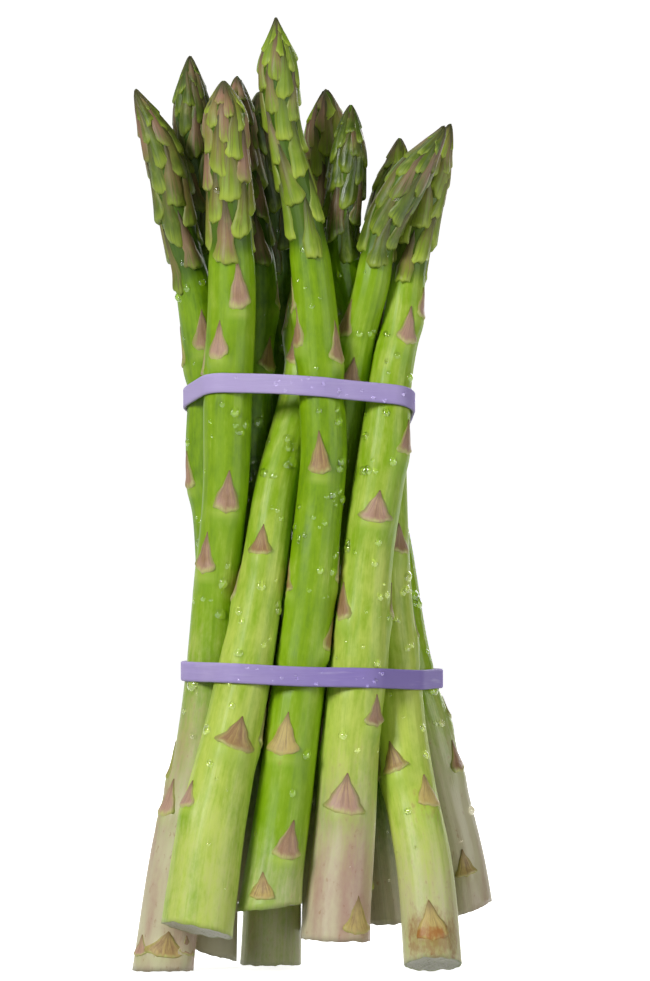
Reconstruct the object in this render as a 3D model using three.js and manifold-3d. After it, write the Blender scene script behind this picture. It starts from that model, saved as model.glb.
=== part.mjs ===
// A tied bundle of eleven thick green asparagus spears that stands on its cut ends.
// Millimetres, +Z up. The front faces -Y, and +X is to the right seen from there.
// Each spear is one grown piece: a bent stem with its bracts and its scaly head. Two bands hold them.

import * as THREE from 'three';
import { mergeVertices } from 'three/addons/utils/BufferGeometryUtils.js';
import Module from 'manifold-3d';

const wasm = await Module();
wasm.setup();

// Stems
const stemSides = 10; // two for each scale in a row of the head
const stemGap = 0.7; // free space left between two neighbouring outlines
const levelStep = 4; // height between the levels at which the stems are pressed apart
const levelCount = 60;
const pressRounds = 300;
const pressEase = 0.8; // share of each round's move that is made
const pressSpread = 4; // how many times each round's moves are evened out along the stems
const ringStep = 14; // height between two rings of a stem

// Bracts and head scales
const goldenAngle = 137.5; // degrees between two bracts that follow each other up a spear
const farBractStep = 33; // height between the bracts that fill a spear's far side
const farBractStart = 12; // height of the first of them above the cut
const farBractEnd = 8; // free height left between the last of them and the head
const farBract = { length: 10, width: 6.8 };
const farSide = 100; // degrees from the front past which a bract counts as on the far side
const bractSides = 4;
const bractProud = 1.1;
const bractSink = 1.3;
const bractTipLift = 0.25;
const ownShareGap = 0.36; // free space kept between one spear's bracts and the next spear's
const drawIn = 0.03; // share of the distance to the stem's centre that a crowded corner moves at a time
const drawInSteps = 40;
const footMargin = 4; // how far below a neighbour's cut its stem still counts as being in the way
const pressedProud = 0.1; // how far a bract stands out where a band presses on it
const bandMargin = 2.5; // height above and below a band within which bracts are pressed flat
const scaleProud = 1.1; // how far the lower edge of a head scale stands off the core
const scaleShare = 0.3; // and never more than this share of the radius
const scaleRowShrink = 0.85; // each row of scales starts this much nearer the tip than the row below
const lastScaleRow = 5.5; // distance from the tip at which the last row starts
const scaleNotch = 0.55; // how far the gap between two scales rises towards the next row
const scaleNotchProud = 0.3; // share of the full proudness that is left in that gap
const scaleDroop = 0.35; // how far a scale's lower edge hangs down
const scaleTwist = 5; // degrees that each row is turned on from the row below

// Heads
const neckSpread = 3; // height above and below the neck over which the stem passes into the head
const neckFlare = 0.5; // how much the lowest scales add to the stem's radius

// Bands
const bandHeight = 4.9;
const bandThickness = 0.9;
const bandClearance = 0.4; // from a bare stem to the inside of a band
const bandDirections = 54;
const crossingSteps = 6; // rounds that find where a stem crosses a slanted band

const mergeDistance = 1e-5; // between corners that count as one

// Each spear. Path: its centre line from foot to tip as [x, y, z]. Radii: its bare radius as [z, radius].
// Bracts: the ones seen from the front as [height of base, degrees right of front, length, width].
// Head: length of its scaly part, and its swollen bud's radius. The swelling is gone at the distance bud from
// the tip, and the head narrows to its tip over the distance taper, more sharply for a larger point.
// Cut: where the foot ends, and the slopes of the cut face. Hold: how much the spear gives way.
const spears = [
  {
    name: 'spear_tall_front',
    colour: 0x8fb83f,
    path: [
      [-11.2, -20, 12], [-7.2, -17.5, 39.5], [-4.6, -16, 60], [-2.3, -14.5, 77], [0.7, -13.5, 107],
      [1.9, -13, 138], [1, -13, 158], [-1.7, -12.5, 181], [-7, -12, 205], [-8.9, -12, 232.3],
    ],
    radii: [[12, 8], [24, 7.1], [45, 6.6], [77, 6.2], [107, 5.6], [150, 5.2], [180, 4.6], [200, 4.1]],
    head: { length: 56, radius: 5.4, bud: 28, taper: 13, point: 1.2 },
    bracts: [
      [17, -15, 7, 7], [27.3, 20, 10, 7.8], [52, -17, 10.7, 8.3], [78, 72, 9, 7], [91, -78, 8.5, 7],
      [120.8, -8, 10.7, 6], [147, 60, 11, 6.5], [151.5, -70, 11, 6.5],
    ],
    spiral: { start: 12, turn: 1 },
    cut: { z: 15.9, slopeX: 0.12, slopeY: 0 },
    hold: 0.25,
  },
  {
    name: 'spear_left_front',
    colour: 0x86ad4a,
    path: [
      [-36.5, -8, 0], [-32.1, -8, 33], [-28.9, -7.5, 46], [-24.7, -7, 73], [-22.6, -9, 96],
      [-21, -11, 120], [-20.6, -11.5, 140], [-19.6, -12.5, 165], [-20.3, -13, 190], [-21.6, -13, 216.7],
    ],
    radii: [[0, 7.3], [30, 6.3], [73, 5.8], [107, 5.4], [135, 5.8], [165, 5.7], [178, 5.4]],
    head: { length: 42, radius: 5.9, bud: 42, taper: 10, point: 0.8 },
    bracts: [
      [3.5, 0, 6.5, 11.5], [36, -50, 9.8, 6.5], [96.9, -35, 10.2, 6], [112, 5, 10.2, 7.3],
      [148.5, -26, 10, 5.8], [160.8, 21, 12.4, 6.2],
    ],
    spiral: { start: -16, turn: 1 },
    cut: { z: 0, slopeX: 0, slopeY: 0 },
    hold: 0.3,
  },
  {
    name: 'spear_left_thick',
    colour: 0x8db63e,
    path: [
      [-28.2, -26, 5], [-24.9, -23, 33], [-22.2, -21, 46], [-17.1, -17.5, 70], [-12.4, -13, 96],
      [-7.9, -8.5, 120], [-2.6, -4, 140], [0.9, 3, 163], [3, 6.5, 183], [3.3, 7, 205], [3.3, 7, 215.7],
    ],
    radii: [
      [5, 8.8], [33, 8.2], [46, 7.6], [60, 6.9], [73, 6.6], [87, 5.8], [120, 5.2], [165, 4.8],
      [178, 4.5],
    ],
    head: { length: 40, radius: 5.6, bud: 40, taper: 11, point: 0.75 },
    bracts: [[38, -60, 7, 7], [53.5, 13, 8.5, 10.7], [99.8, -15, 8, 6.2], [146, -30, 9.5, 6]],
    spiral: { start: -40, turn: -1 },
    cut: { z: 10.6, slopeX: -0.22, slopeY: -0.17 },
    hold: 0.3,
  },
  {
    name: 'spear_right_front',
    colour: 0x8bb247,
    path: [
      [4.6, -17.5, 4], [7.3, -15, 29], [9.6, -14, 60], [11.3, -13, 77], [13.7, -11.5, 102],
      [17.7, -10.5, 130], [19, -9, 143.5], [21.4, -6, 157], [23.1, -3, 171.5], [25.6, -0.5, 182],
      [29, 1, 194], [34, 1, 206.9],
    ],
    radii: [
      [4, 8.5], [20, 7.8], [30, 7.5], [60, 7], [75, 7], [96, 6.2], [126, 6], [140, 5.2], [152, 4.7],
      [172, 4.5],
    ],
    head: { length: 38, radius: 5.1, bud: 38, taper: 15, point: 0.85 },
    bracts: [
      [8.8, 40, 10, 8], [38, -5, 10.5, 11], [60, 50, 8, 7], [84.4, -50, 9.8, 7], [109, 5, 8, 8.8],
      [126, 62, 8.5, 7], [151.8, 25, 9.5, 5.6], [158.8, 75, 8, 5.6],
    ],
    spiral: { start: -12, turn: 1 },
    cut: { z: 8, slopeX: -0.03, slopeY: 0.02 },
    hold: 0.3,
  },
  {
    name: 'spear_right_outer',
    colour: 0x84a94e,
    path: [
      [29.4, -18.5, 0], [27.2, -14.5, 26], [23.4, -9.5, 46], [19.9, -3.5, 73], [17.8, 0.5, 107],
      [17, 3, 140], [16.8, 5.5, 165], [18.4, 7, 187], [20.8, 8, 196], [21.4, 8, 203.7],
    ],
    radii: [[0, 6.9], [26, 6.6], [46, 6.2], [73, 5.7], [107, 5.4], [140, 5], [165, 4.6]],
    head: { length: 38, radius: 4.9, bud: 38, taper: 13, point: 0.75 },
    bracts: [[7, 3, 10, 9], [37.8, 37, 8.5, 7], [47.3, -28, 8, 7.3], [100.8, 35, 8, 6]],
    spiral: { start: 60, turn: 1 },
    cut: { z: 1.97, slopeX: 0.03, slopeY: -0.3 },
    hold: 0.6,
  },
  {
    name: 'spear_right_back',
    colour: 0x93ad66,
    path: [
      [38.6, 8, 8], [36, 8, 26], [31.4, 8, 46], [28.7, 8.5, 57], [23.8, 9, 75], [18.5, 10.5, 107],
      [11, 8.5, 140], [7.6, 0, 165], [7, -3.5, 180], [8.2, -4, 192], [9.4, -4, 211.3],
    ],
    radii: [[8, 6.6], [40, 5.9], [73, 5.3], [107, 5], [140, 4.8], [165, 4.4]],
    head: { length: 36, radius: 5, bud: 36, taper: 15, point: 0.7 },
    bracts: [[46.4, 60, 8, 6.5], [22, 10, 9, 7]],
    spiral: { start: 30, turn: -1 },
    cut: { z: 13.6, slopeX: 0.4, slopeY: 0.05 },
    hold: 0.7,
  },
  {
    name: 'spear_left_leaning',
    colour: 0x86a84c,
    path: [
      [-25.5, 5, 0], [-24.6, 5, 25], [-22.8, 4.5, 73], [-22.6, 2, 107], [-23.6, 1, 130], [-25, 0, 142],
      [-27.2, -1.5, 155], [-29.2, -2.5, 168], [-32, -3.5, 180], [-36, -4, 198], [-43.4, -4, 215.2],
    ],
    radii: [[0, 6.8], [40, 6], [73, 5.6], [107, 5.4], [140, 5.1], [160, 4.6], [172, 4.3]],
    head: { length: 46, radius: 5.2, bud: 46, taper: 18, point: 0.85 },
    bracts: [[118, -70, 9, 6], [151.5, 5, 10, 6]],
    spiral: { start: -60, turn: -1 },
    cut: { z: 3.4, slopeX: -0.3, slopeY: 0 },
    hold: 0.6,
  },
  {
    name: 'spear_left_back',
    colour: 0x7da040,
    path: [
      [3.6, 11.5, 6], [2.2, 11.5, 40], [0, 11, 73], [-7.2, 10.5, 107], [-18, 9.5, 140], [-24.5, 6.5, 165],
      [-27.6, 4.5, 180], [-29.2, 4, 200], [-30.1, 4, 223.7],
    ],
    radii: [[6, 6.2], [73, 5.3], [107, 5.1], [140, 4.8], [175, 4.2]],
    head: { length: 46, radius: 5, bud: 46, taper: 14, point: 0.85 },
    bracts: [],
    spiral: { start: 20, turn: 1 },
    cut: { z: 8.5, slopeX: 0, slopeY: 0.1 },
    hold: 1,
  },
  {
    name: 'spear_left_inner',
    colour: 0x6f9436,
    path: [
      [-12.6, -3, 14], [-12.4, -2.5, 40], [-11.8, -2, 73], [-13.6, -1, 107], [-15.5, -1.5, 135],
      [-14.4, -1.5, 150], [-13.4, -1.5, 167], [-15.3, -2, 185], [-18, -2.5, 205], [-18.4, -2.5, 218.4],
    ],
    radii: [[14, 6.2], [73, 5.4], [107, 5], [140, 4.8], [175, 4.4]],
    head: { length: 44, radius: 4.7, bud: 44, taper: 12, point: 0.75 },
    bracts: [[146, 45, 9, 6]],
    spiral: { start: 25, turn: -1 },
    cut: { z: 17, slopeX: 0.05, slopeY: 0.05 },
    hold: 1,
  },
  {
    name: 'spear_middle_inner',
    colour: 0x6a8f34,
    path: [
      [18.2, 3.5, 8], [14.5, 3.5, 40], [10.4, 3, 73], [-2, 7, 107], [-5.6, 9, 140], [-7.2, 9.5, 167],
      [-10, 7.5, 185], [-12.6, 6, 205], [-13.2, 5.5, 215],
    ],
    radii: [[8, 6.4], [73, 5.6], [107, 5.2], [140, 4.9], [175, 4.4]],
    head: { length: 42, radius: 4.7, bud: 42, taper: 11, point: 0.7 },
    bracts: [],
    spiral: { start: -10, turn: 1 },
    cut: { z: 11, slopeX: 0.04, slopeY: 0.05 },
    hold: 1,
  },
  {
    name: 'spear_right_leaning',
    colour: 0x87a94f,
    path: [
      [-10.4, 15, 0], [-8.6, 10.5, 30], [-3.2, 1.5, 73], [3.4, -1.5, 107], [6.8, -4, 128], [8.5, -5.5, 140],
      [11.2, -6, 155], [13.5, -6.5, 166], [17, -7.5, 180], [24.3, -9, 193], [32.6, -9, 206],
    ],
    radii: [[0, 7.3], [20, 6.7], [73, 5.5], [107, 5.2], [140, 4.6], [160, 4.2], [172, 4.1]],
    head: { length: 33, radius: 5.3, bud: 33, taper: 15, point: 0.85 },
    bracts: [[142, 0, 8, 6], [153.9, -60, 9, 6]],
    spiral: { start: 5, turn: 1 },
    cut: { z: 0, slopeX: 0, slopeY: 0 },
    hold: 0.7,
  },
];

// Each band: the height of its middle at x = y = 0, and the slopes of that height along x and y.
const bands = [
  { name: 'upper_band', colour: 0xb3a0d8, z: 137.7, slopeX: -0.06, slopeY: -0.235 },
  { name: 'lower_band', colour: 0x9a86c8, z: 71.9, slopeX: -0.037, slopeY: -0.005 },
];

// Reads a smooth line through points [key, value] at a key, held level past both ends.
function smoothValue(points, key) {
  if (key <= points[0][0]) return points[0][1];
  const last = points.length - 1;
  if (key >= points[last][0]) return points[last][1];
  let i = 0;
  while (key > points[i + 1][0]) i += 1;
  const span = points[i + 1][0] - points[i][0];
  const slopeOf = (a, b) => (points[b][1] - points[a][1]) / (points[b][0] - points[a][0]);
  const here = slopeOf(i, i + 1);
  const startSlope = i > 0 ? (slopeOf(i - 1, i) + here) / 2 : here;
  const endSlope = i + 1 < last ? (here + slopeOf(i + 1, i + 2)) / 2 : here;
  const t = (key - points[i][0]) / span;
  const bump = t * t * (3 - 2 * t);
  const rise = t * (1 - t) * (1 - t) * startSlope - t * t * (1 - t) * endSlope;
  return points[i][1] + (points[i + 1][1] - points[i][1]) * bump + rise * span;
}

const tipOf = (spear) => spear.path.at(-1)[2];
const neckOf = (spear) => tipOf(spear) - spear.head.length;

// How far into the head a height is, from 0 on the bare stem to 1.
function inHead(spear, z) {
  const neck = neckOf(spear);
  return THREE.MathUtils.smoothstep(z, neck - neckSpread, neck + neckSpread);
}

// Radius of a spear at a height with its head scales on.
function outlineRadius(spear, z) {
  const { radius, bud, taper, point } = spear.head;
  const left = Math.max(tipOf(spear) - z, 0);
  const stem = smoothValue(spear.radii, z) + neckFlare * inHead(spear, z);
  const swell = 1 - THREE.MathUtils.smoothstep(left, taper, bud);
  const full = THREE.MathUtils.lerp(stem, radius, swell);
  return full * Math.sin((Math.min(1, left / taper) * Math.PI) / 2) ** point;
}

// Radius of the spear between its scales.
function coreRadius(spear, z) {
  const outline = outlineRadius(spear, z);
  return outline - inHead(spear, z) * Math.min(scaleProud, outline * scaleShare);
}

// Centre lines sampled at even levels, which the tie has pressed together without letting them cross.
function pressTogether() {
  const levels = Array.from({ length: levelCount }, (_, k) => k * levelStep);
  const lines = spears.map((spear) => levels.map((z) => [
    smoothValue(spear.path.map((p) => [p[2], p[0]]), z),
    smoothValue(spear.path.map((p) => [p[2], p[1]]), z),
  ]));
  const widen = (line, k) => {
    const a = line[Math.max(k - 1, 0)];
    const b = line[Math.min(k + 1, levelCount - 1)];
    const run = Math.hypot(b[0] - a[0], b[1] - a[1]) / (2 * levelStep);
    return Math.hypot(1, run);
  };
  for (let round = 0; round < pressRounds; round += 1) {
    let moves = lines.map((line) => line.map(() => [0, 0]));
    levels.forEach((z, k) => {
      for (let i = 0; i < spears.length; i += 1) {
        for (let j = i + 1; j < spears.length; j += 1) {
          if (z > Math.min(tipOf(spears[i]), tipOf(spears[j]))) continue;
          const dx = lines[j][k][0] - lines[i][k][0];
          const dy = lines[j][k][1] - lines[i][k][1];
          const apart = Math.hypot(dx, dy);
          const reach = outlineRadius(spears[i], z) * widen(lines[i], k)
            + outlineRadius(spears[j], z) * widen(lines[j], k) + stemGap;
          if (apart >= reach) continue;
          const push = (reach - apart) / apart;
          const share = spears[i].hold / (spears[i].hold + spears[j].hold);
          moves[i][k][0] -= dx * push * share;
          moves[i][k][1] -= dy * push * share;
          moves[j][k][0] += dx * push * (1 - share);
          moves[j][k][1] += dy * push * (1 - share);
        }
      }
    });
    for (let pass = 0; pass < pressSpread; pass += 1) {
      moves = moves.map((move) => move.map((_, k) => [0, 1].map((axis) => {
        const below = move[Math.max(k - 1, 0)][axis];
        const above = move[Math.min(k + 1, levelCount - 1)][axis];
        return (below + 2 * move[k][axis] + above) / 4;
      })));
    }
    lines.forEach((line, i) => line.forEach((point, k) => {
      point[0] += moves[i][k][0] * pressEase;
      point[1] += moves[i][k][1] * pressEase;
    }));
  }
  spears.forEach((spear, i) => {
    spear.lineX = levels.map((z, k) => [z, lines[i][k][0]]);
    spear.lineY = levels.map((z, k) => [z, lines[i][k][1]]);
  });
}

// Centre of a spear at a height, with its direction and the two directions across it (right and back).
function centreAt(spear, z) {
  return new THREE.Vector3(smoothValue(spear.lineX, z), smoothValue(spear.lineY, z), z);
}

function frameAt(spear, z) {
  const along = centreAt(spear, z + 1).sub(centreAt(spear, z - 1)).normalize();
  const right = new THREE.Vector3(1, 0, 0).addScaledVector(along, -along.x).normalize();
  const back = new THREE.Vector3().crossVectors(along, right);
  return { centre: centreAt(spear, z), along, right, back };
}

// How much wider a level cut through a spear is than the spear itself.
const slantOf = (spear, z) => 1 / frameAt(spear, z).along.z;

const bandLevel = (band, x, y) => band.z + band.slopeX * x + band.slopeY * y;

// Draws a bract's corner in towards its own stem until it keeps clear of the neighbours.
function keepClear(spear, corner, pressed) {
  const centre = centreAt(spear, corner.z);
  const ownRadius = outlineRadius(spear, corner.z) * slantOf(spear, corner.z);
  const isClear = (x, y) => {
    const own = Math.hypot(x - centre.x, y - centre.y) - ownRadius;
    if (pressed && own > pressedProud) return false;
    return spears.every((other) => {
      if (other === spear || corner.z > tipOf(other) || corner.z < other.cut.z - footMargin) return true;
      const far = centreAt(other, corner.z);
      const radius = outlineRadius(other, corner.z) * slantOf(other, corner.z);
      return Math.hypot(x - far.x, y - far.y) - radius >= own + ownShareGap;
    });
  };
  for (let step = 0; step < drawInSteps && !isClear(corner.x, corner.y); step += 1) {
    corner.x += (centre.x - corner.x) * drawIn;
    corner.y += (centre.y - corner.y) * drawIn;
  }
}

function toManifold(geometry) {
  const plain = geometry.clone();
  plain.deleteAttribute('normal');
  plain.deleteAttribute('uv');
  const merged = mergeVertices(plain, mergeDistance);
  return new wasm.Manifold(new wasm.Mesh({
    numProp: 3,
    vertProperties: new Float32Array(merged.attributes.position.array),
    triVerts: new Uint32Array(merged.index.array),
  }));
}

function toGeometry(solid) {
  const mesh = solid.getMesh();
  const geometry = new THREE.BufferGeometry();
  geometry.setAttribute('position', new THREE.BufferAttribute(new Float32Array(mesh.vertProperties), 3));
  geometry.setIndex(new THREE.BufferAttribute(new Uint32Array(mesh.triVerts), 1));
  geometry.computeVertexNormals();
  return geometry;
}

// The rings of a spear, from its cut foot to its last scales. Each gives a column's height and radius.
function ringsOf(spear) {
  const rings = [{ height: () => spear.cut.z, radius: () => coreRadius(spear, spear.cut.z), turn: 0 }];
  for (let z = spear.cut.z + ringStep; z < neckOf(spear) - ringStep / 3; z += ringStep) {
    rings.push({ height: () => z, radius: () => coreRadius(spear, z), turn: 0 });
  }
  let row = 0;
  for (let left = spear.head.length; left > lastScaleRow; left *= scaleRowShrink) {
    const base = tipOf(spear) - left;
    const notch = left * (1 - scaleRowShrink) * scaleNotch;
    const odd = row % 2;
    const isMiddle = (column) => column % 2 === odd;
    const turn = row * scaleTwist * spear.spiral.turn;
    rings.push({
      height: (column) => base + (isMiddle(column) ? 0 : notch),
      radius: (column, z) => coreRadius(spear, z),
      turn,
    });
    rings.push({
      height: (column) => base + (isMiddle(column) ? -scaleDroop : notch),
      radius: (column, z) => {
        const core = coreRadius(spear, z);
        return core + (outlineRadius(spear, z) - core) * (isMiddle(column) ? 1 : scaleNotchProud);
      },
      turn,
    });
    row += 1;
  }
  return rings;
}

// The spear without its bracts, turned as a lathe and then bent along the centre line. In the head each row
// of scales is a step in the surface, with its lower edge proud and its points in the gaps of the next row.
function stemSolid(spear) {
  const rings = ringsOf(spear);
  const profile = rings.map((ring, k) => new THREE.Vector2(1, k + 1));
  profile.unshift(new THREE.Vector2(0, 0));
  profile.push(new THREE.Vector2(0, rings.length + 1));
  const geometry = new THREE.LatheGeometry(profile, stemSides);
  const position = geometry.attributes.position;
  const foot = frameAt(spear, spear.cut.z);
  for (let i = 0; i < position.count; i += 1) {
    const column = Math.floor(i / profile.length) % stemSides;
    const k = i % profile.length;
    const ring = rings[THREE.MathUtils.clamp(k - 1, 0, rings.length - 1)];
    const isAxis = k === 0 || k === profile.length - 1;
    const z = k === profile.length - 1 ? tipOf(spear) : ring.height(column);
    const radius = isAxis ? 0 : ring.radius(column, z);
    const angle = THREE.MathUtils.degToRad((column * 360) / stemSides + ring.turn);
    const { centre, along, right, back } = frameAt(spear, z);
    const point = centre
      .addScaledVector(right, Math.cos(angle) * radius)
      .addScaledVector(back, Math.sin(angle) * radius);
    if (k < 2) {
      const { slopeX, slopeY } = spear.cut;
      const rise = (point.x - foot.centre.x) * slopeX + (point.y - foot.centre.y) * slopeY;
      point.addScaledVector(along, (z + rise - point.z) / (along.z - along.x * slopeX - along.y * slopeY));
    }
    position.setXYZ(i, point.x, point.y, point.z);
  }
  return toManifold(geometry);
}

// One bract: a flattened, pointed lathe form with its back sunk in the stem and its lower edge proud.
function bractSolid(spear, bract) {
  const profile = [[0, 0.04], [1, 0], [0, 1]].map(([r, h]) => new THREE.Vector2(r, h));
  const geometry = new THREE.LatheGeometry(profile, bractSides);
  const position = geometry.attributes.position;
  const pressed = bands.some((band) => {
    const middle = centreAt(spear, band.z);
    const level = bandLevel(band, middle.x, middle.y);
    const reach = bandHeight / 2 + bandMargin;
    return bract.z < level + reach && bract.z + bract.length > level - reach;
  });
  for (let i = 0; i < position.count; i += 1) {
    const up = position.getY(i);
    const z = bract.z + up * bract.length;
    const { centre, right, back } = frameAt(spear, z);
    const out = position.getZ(i);
    const isTip = up === 1;
    const offset = out > 0 ? out * bractProud : out * bractSink;
    const radius = coreRadius(spear, z) + (isTip ? bractTipLift : offset);
    const angle = THREE.MathUtils.degToRad(bract.angle) + (position.getX(i) * bract.width) / 2 / radius;
    const point = centre
      .addScaledVector(right, Math.sin(angle) * radius)
      .addScaledVector(back, -Math.cos(angle) * radius);
    keepClear(spear, point, pressed);
    position.setXYZ(i, point.x, point.y, point.z);
  }
  return toManifold(geometry);
}

// The bracts of the stem: those seen from the front, and a spiral of others round the far side.
function bractsOf(spear) {
  const bracts = spear.bracts.map(([z, angle, length, width]) => ({ z, angle, length, width }));
  let angle = spear.spiral.start;
  for (let z = spear.cut.z + farBractStart; z < neckOf(spear) - farBractEnd; z += farBractStep) {
    angle += goldenAngle * spear.spiral.turn;
    const turned = THREE.MathUtils.euclideanModulo(angle + 180, 360) - 180;
    const away = Math.sign(turned) * Math.max(Math.abs(turned), farSide);
    bracts.push({ z, angle: away, ...farBract });
  }
  return bracts;
}

function spearGeometry(spear) {
  let solid = stemSolid(spear);
  bractsOf(spear).forEach((bract) => {
    solid = solid.add(bractSolid(spear, bract));
  });
  return toGeometry(solid);
}

// Outline of a taut band: the tightest loop round all the stems it crosses, a given distance off them.
function bandOutline(band, offset) {
  const discs = [];
  spears.forEach((spear) => {
    [-0.5, 0, 0.5].forEach((part) => {
      let z = band.z;
      for (let step = 0; step < crossingSteps; step += 1) {
        const middle = centreAt(spear, z);
        z = bandLevel(band, middle.x, middle.y) + part * bandHeight;
      }
      const centre = centreAt(spear, z);
      discs.push({ x: centre.x, y: centre.y, r: outlineRadius(spear, z) * slantOf(spear, z) + offset });
    });
  });
  const outline = [];
  for (let k = 0; k < bandDirections; k += 1) {
    const angle = (k / bandDirections) * 2 * Math.PI;
    const cos = Math.cos(angle);
    const sin = Math.sin(angle);
    const reach = (disc) => disc.x * cos + disc.y * sin + disc.r;
    const far = discs.reduce((best, disc) => (reach(disc) > reach(best) ? disc : best));
    outline.push(new THREE.Vector2(far.x + far.r * cos, far.y + far.r * sin));
  }
  return outline;
}

function bandGeometry(band) {
  const loop = new THREE.Shape(bandOutline(band, bandClearance + bandThickness));
  loop.holes.push(new THREE.Path(bandOutline(band, bandClearance)));
  const geometry = new THREE.ExtrudeGeometry(loop, { depth: bandHeight, bevelEnabled: false });
  const position = geometry.attributes.position;
  for (let i = 0; i < position.count; i += 1) {
    const level = bandLevel(band, position.getX(i), position.getY(i));
    position.setZ(i, position.getZ(i) + level - bandHeight / 2);
  }
  return toGeometry(toManifold(geometry));
}

function namedMesh(name, geometry, colour, roughness) {
  const material = new THREE.MeshStandardMaterial({ color: colour, roughness, metalness: 0 });
  const mesh = new THREE.Mesh(geometry, material);
  mesh.name = name;
  return mesh;
}

pressTogether();
const bundle = new THREE.Group();
spears.forEach((spear) => bundle.add(namedMesh(spear.name, spearGeometry(spear), spear.colour, 0.5)));
bands.forEach((band) => bundle.add(namedMesh(band.name, bandGeometry(band), band.colour, 0.6)));

// The origin is the middle of the bundle's footprint, on the surface that it stands on.
const box = new THREE.Box3().setFromObject(bundle);
const middle = box.getCenter(new THREE.Vector3());
bundle.position.set(-middle.x, -middle.y, -box.min.z);
bundle.updateMatrixWorld(true);

export default bundle;
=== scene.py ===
import math
import random

import bmesh
import bpy
import numpy as np
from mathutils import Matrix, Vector


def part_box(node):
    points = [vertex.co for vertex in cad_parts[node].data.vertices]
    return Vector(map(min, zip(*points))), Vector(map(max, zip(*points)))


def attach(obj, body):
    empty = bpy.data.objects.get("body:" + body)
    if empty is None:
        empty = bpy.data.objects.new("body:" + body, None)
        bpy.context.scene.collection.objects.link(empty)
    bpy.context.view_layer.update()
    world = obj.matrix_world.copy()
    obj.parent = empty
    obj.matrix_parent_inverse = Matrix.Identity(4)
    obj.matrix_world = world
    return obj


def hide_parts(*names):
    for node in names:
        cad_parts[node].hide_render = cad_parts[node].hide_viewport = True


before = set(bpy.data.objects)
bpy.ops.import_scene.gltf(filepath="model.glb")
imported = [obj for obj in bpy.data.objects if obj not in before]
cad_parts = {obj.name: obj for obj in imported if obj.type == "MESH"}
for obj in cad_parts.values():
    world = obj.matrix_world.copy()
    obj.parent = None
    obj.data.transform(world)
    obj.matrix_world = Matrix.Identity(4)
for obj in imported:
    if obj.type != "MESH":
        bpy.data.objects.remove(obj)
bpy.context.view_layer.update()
metre = 0.001
print("frame loaded")

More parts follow.
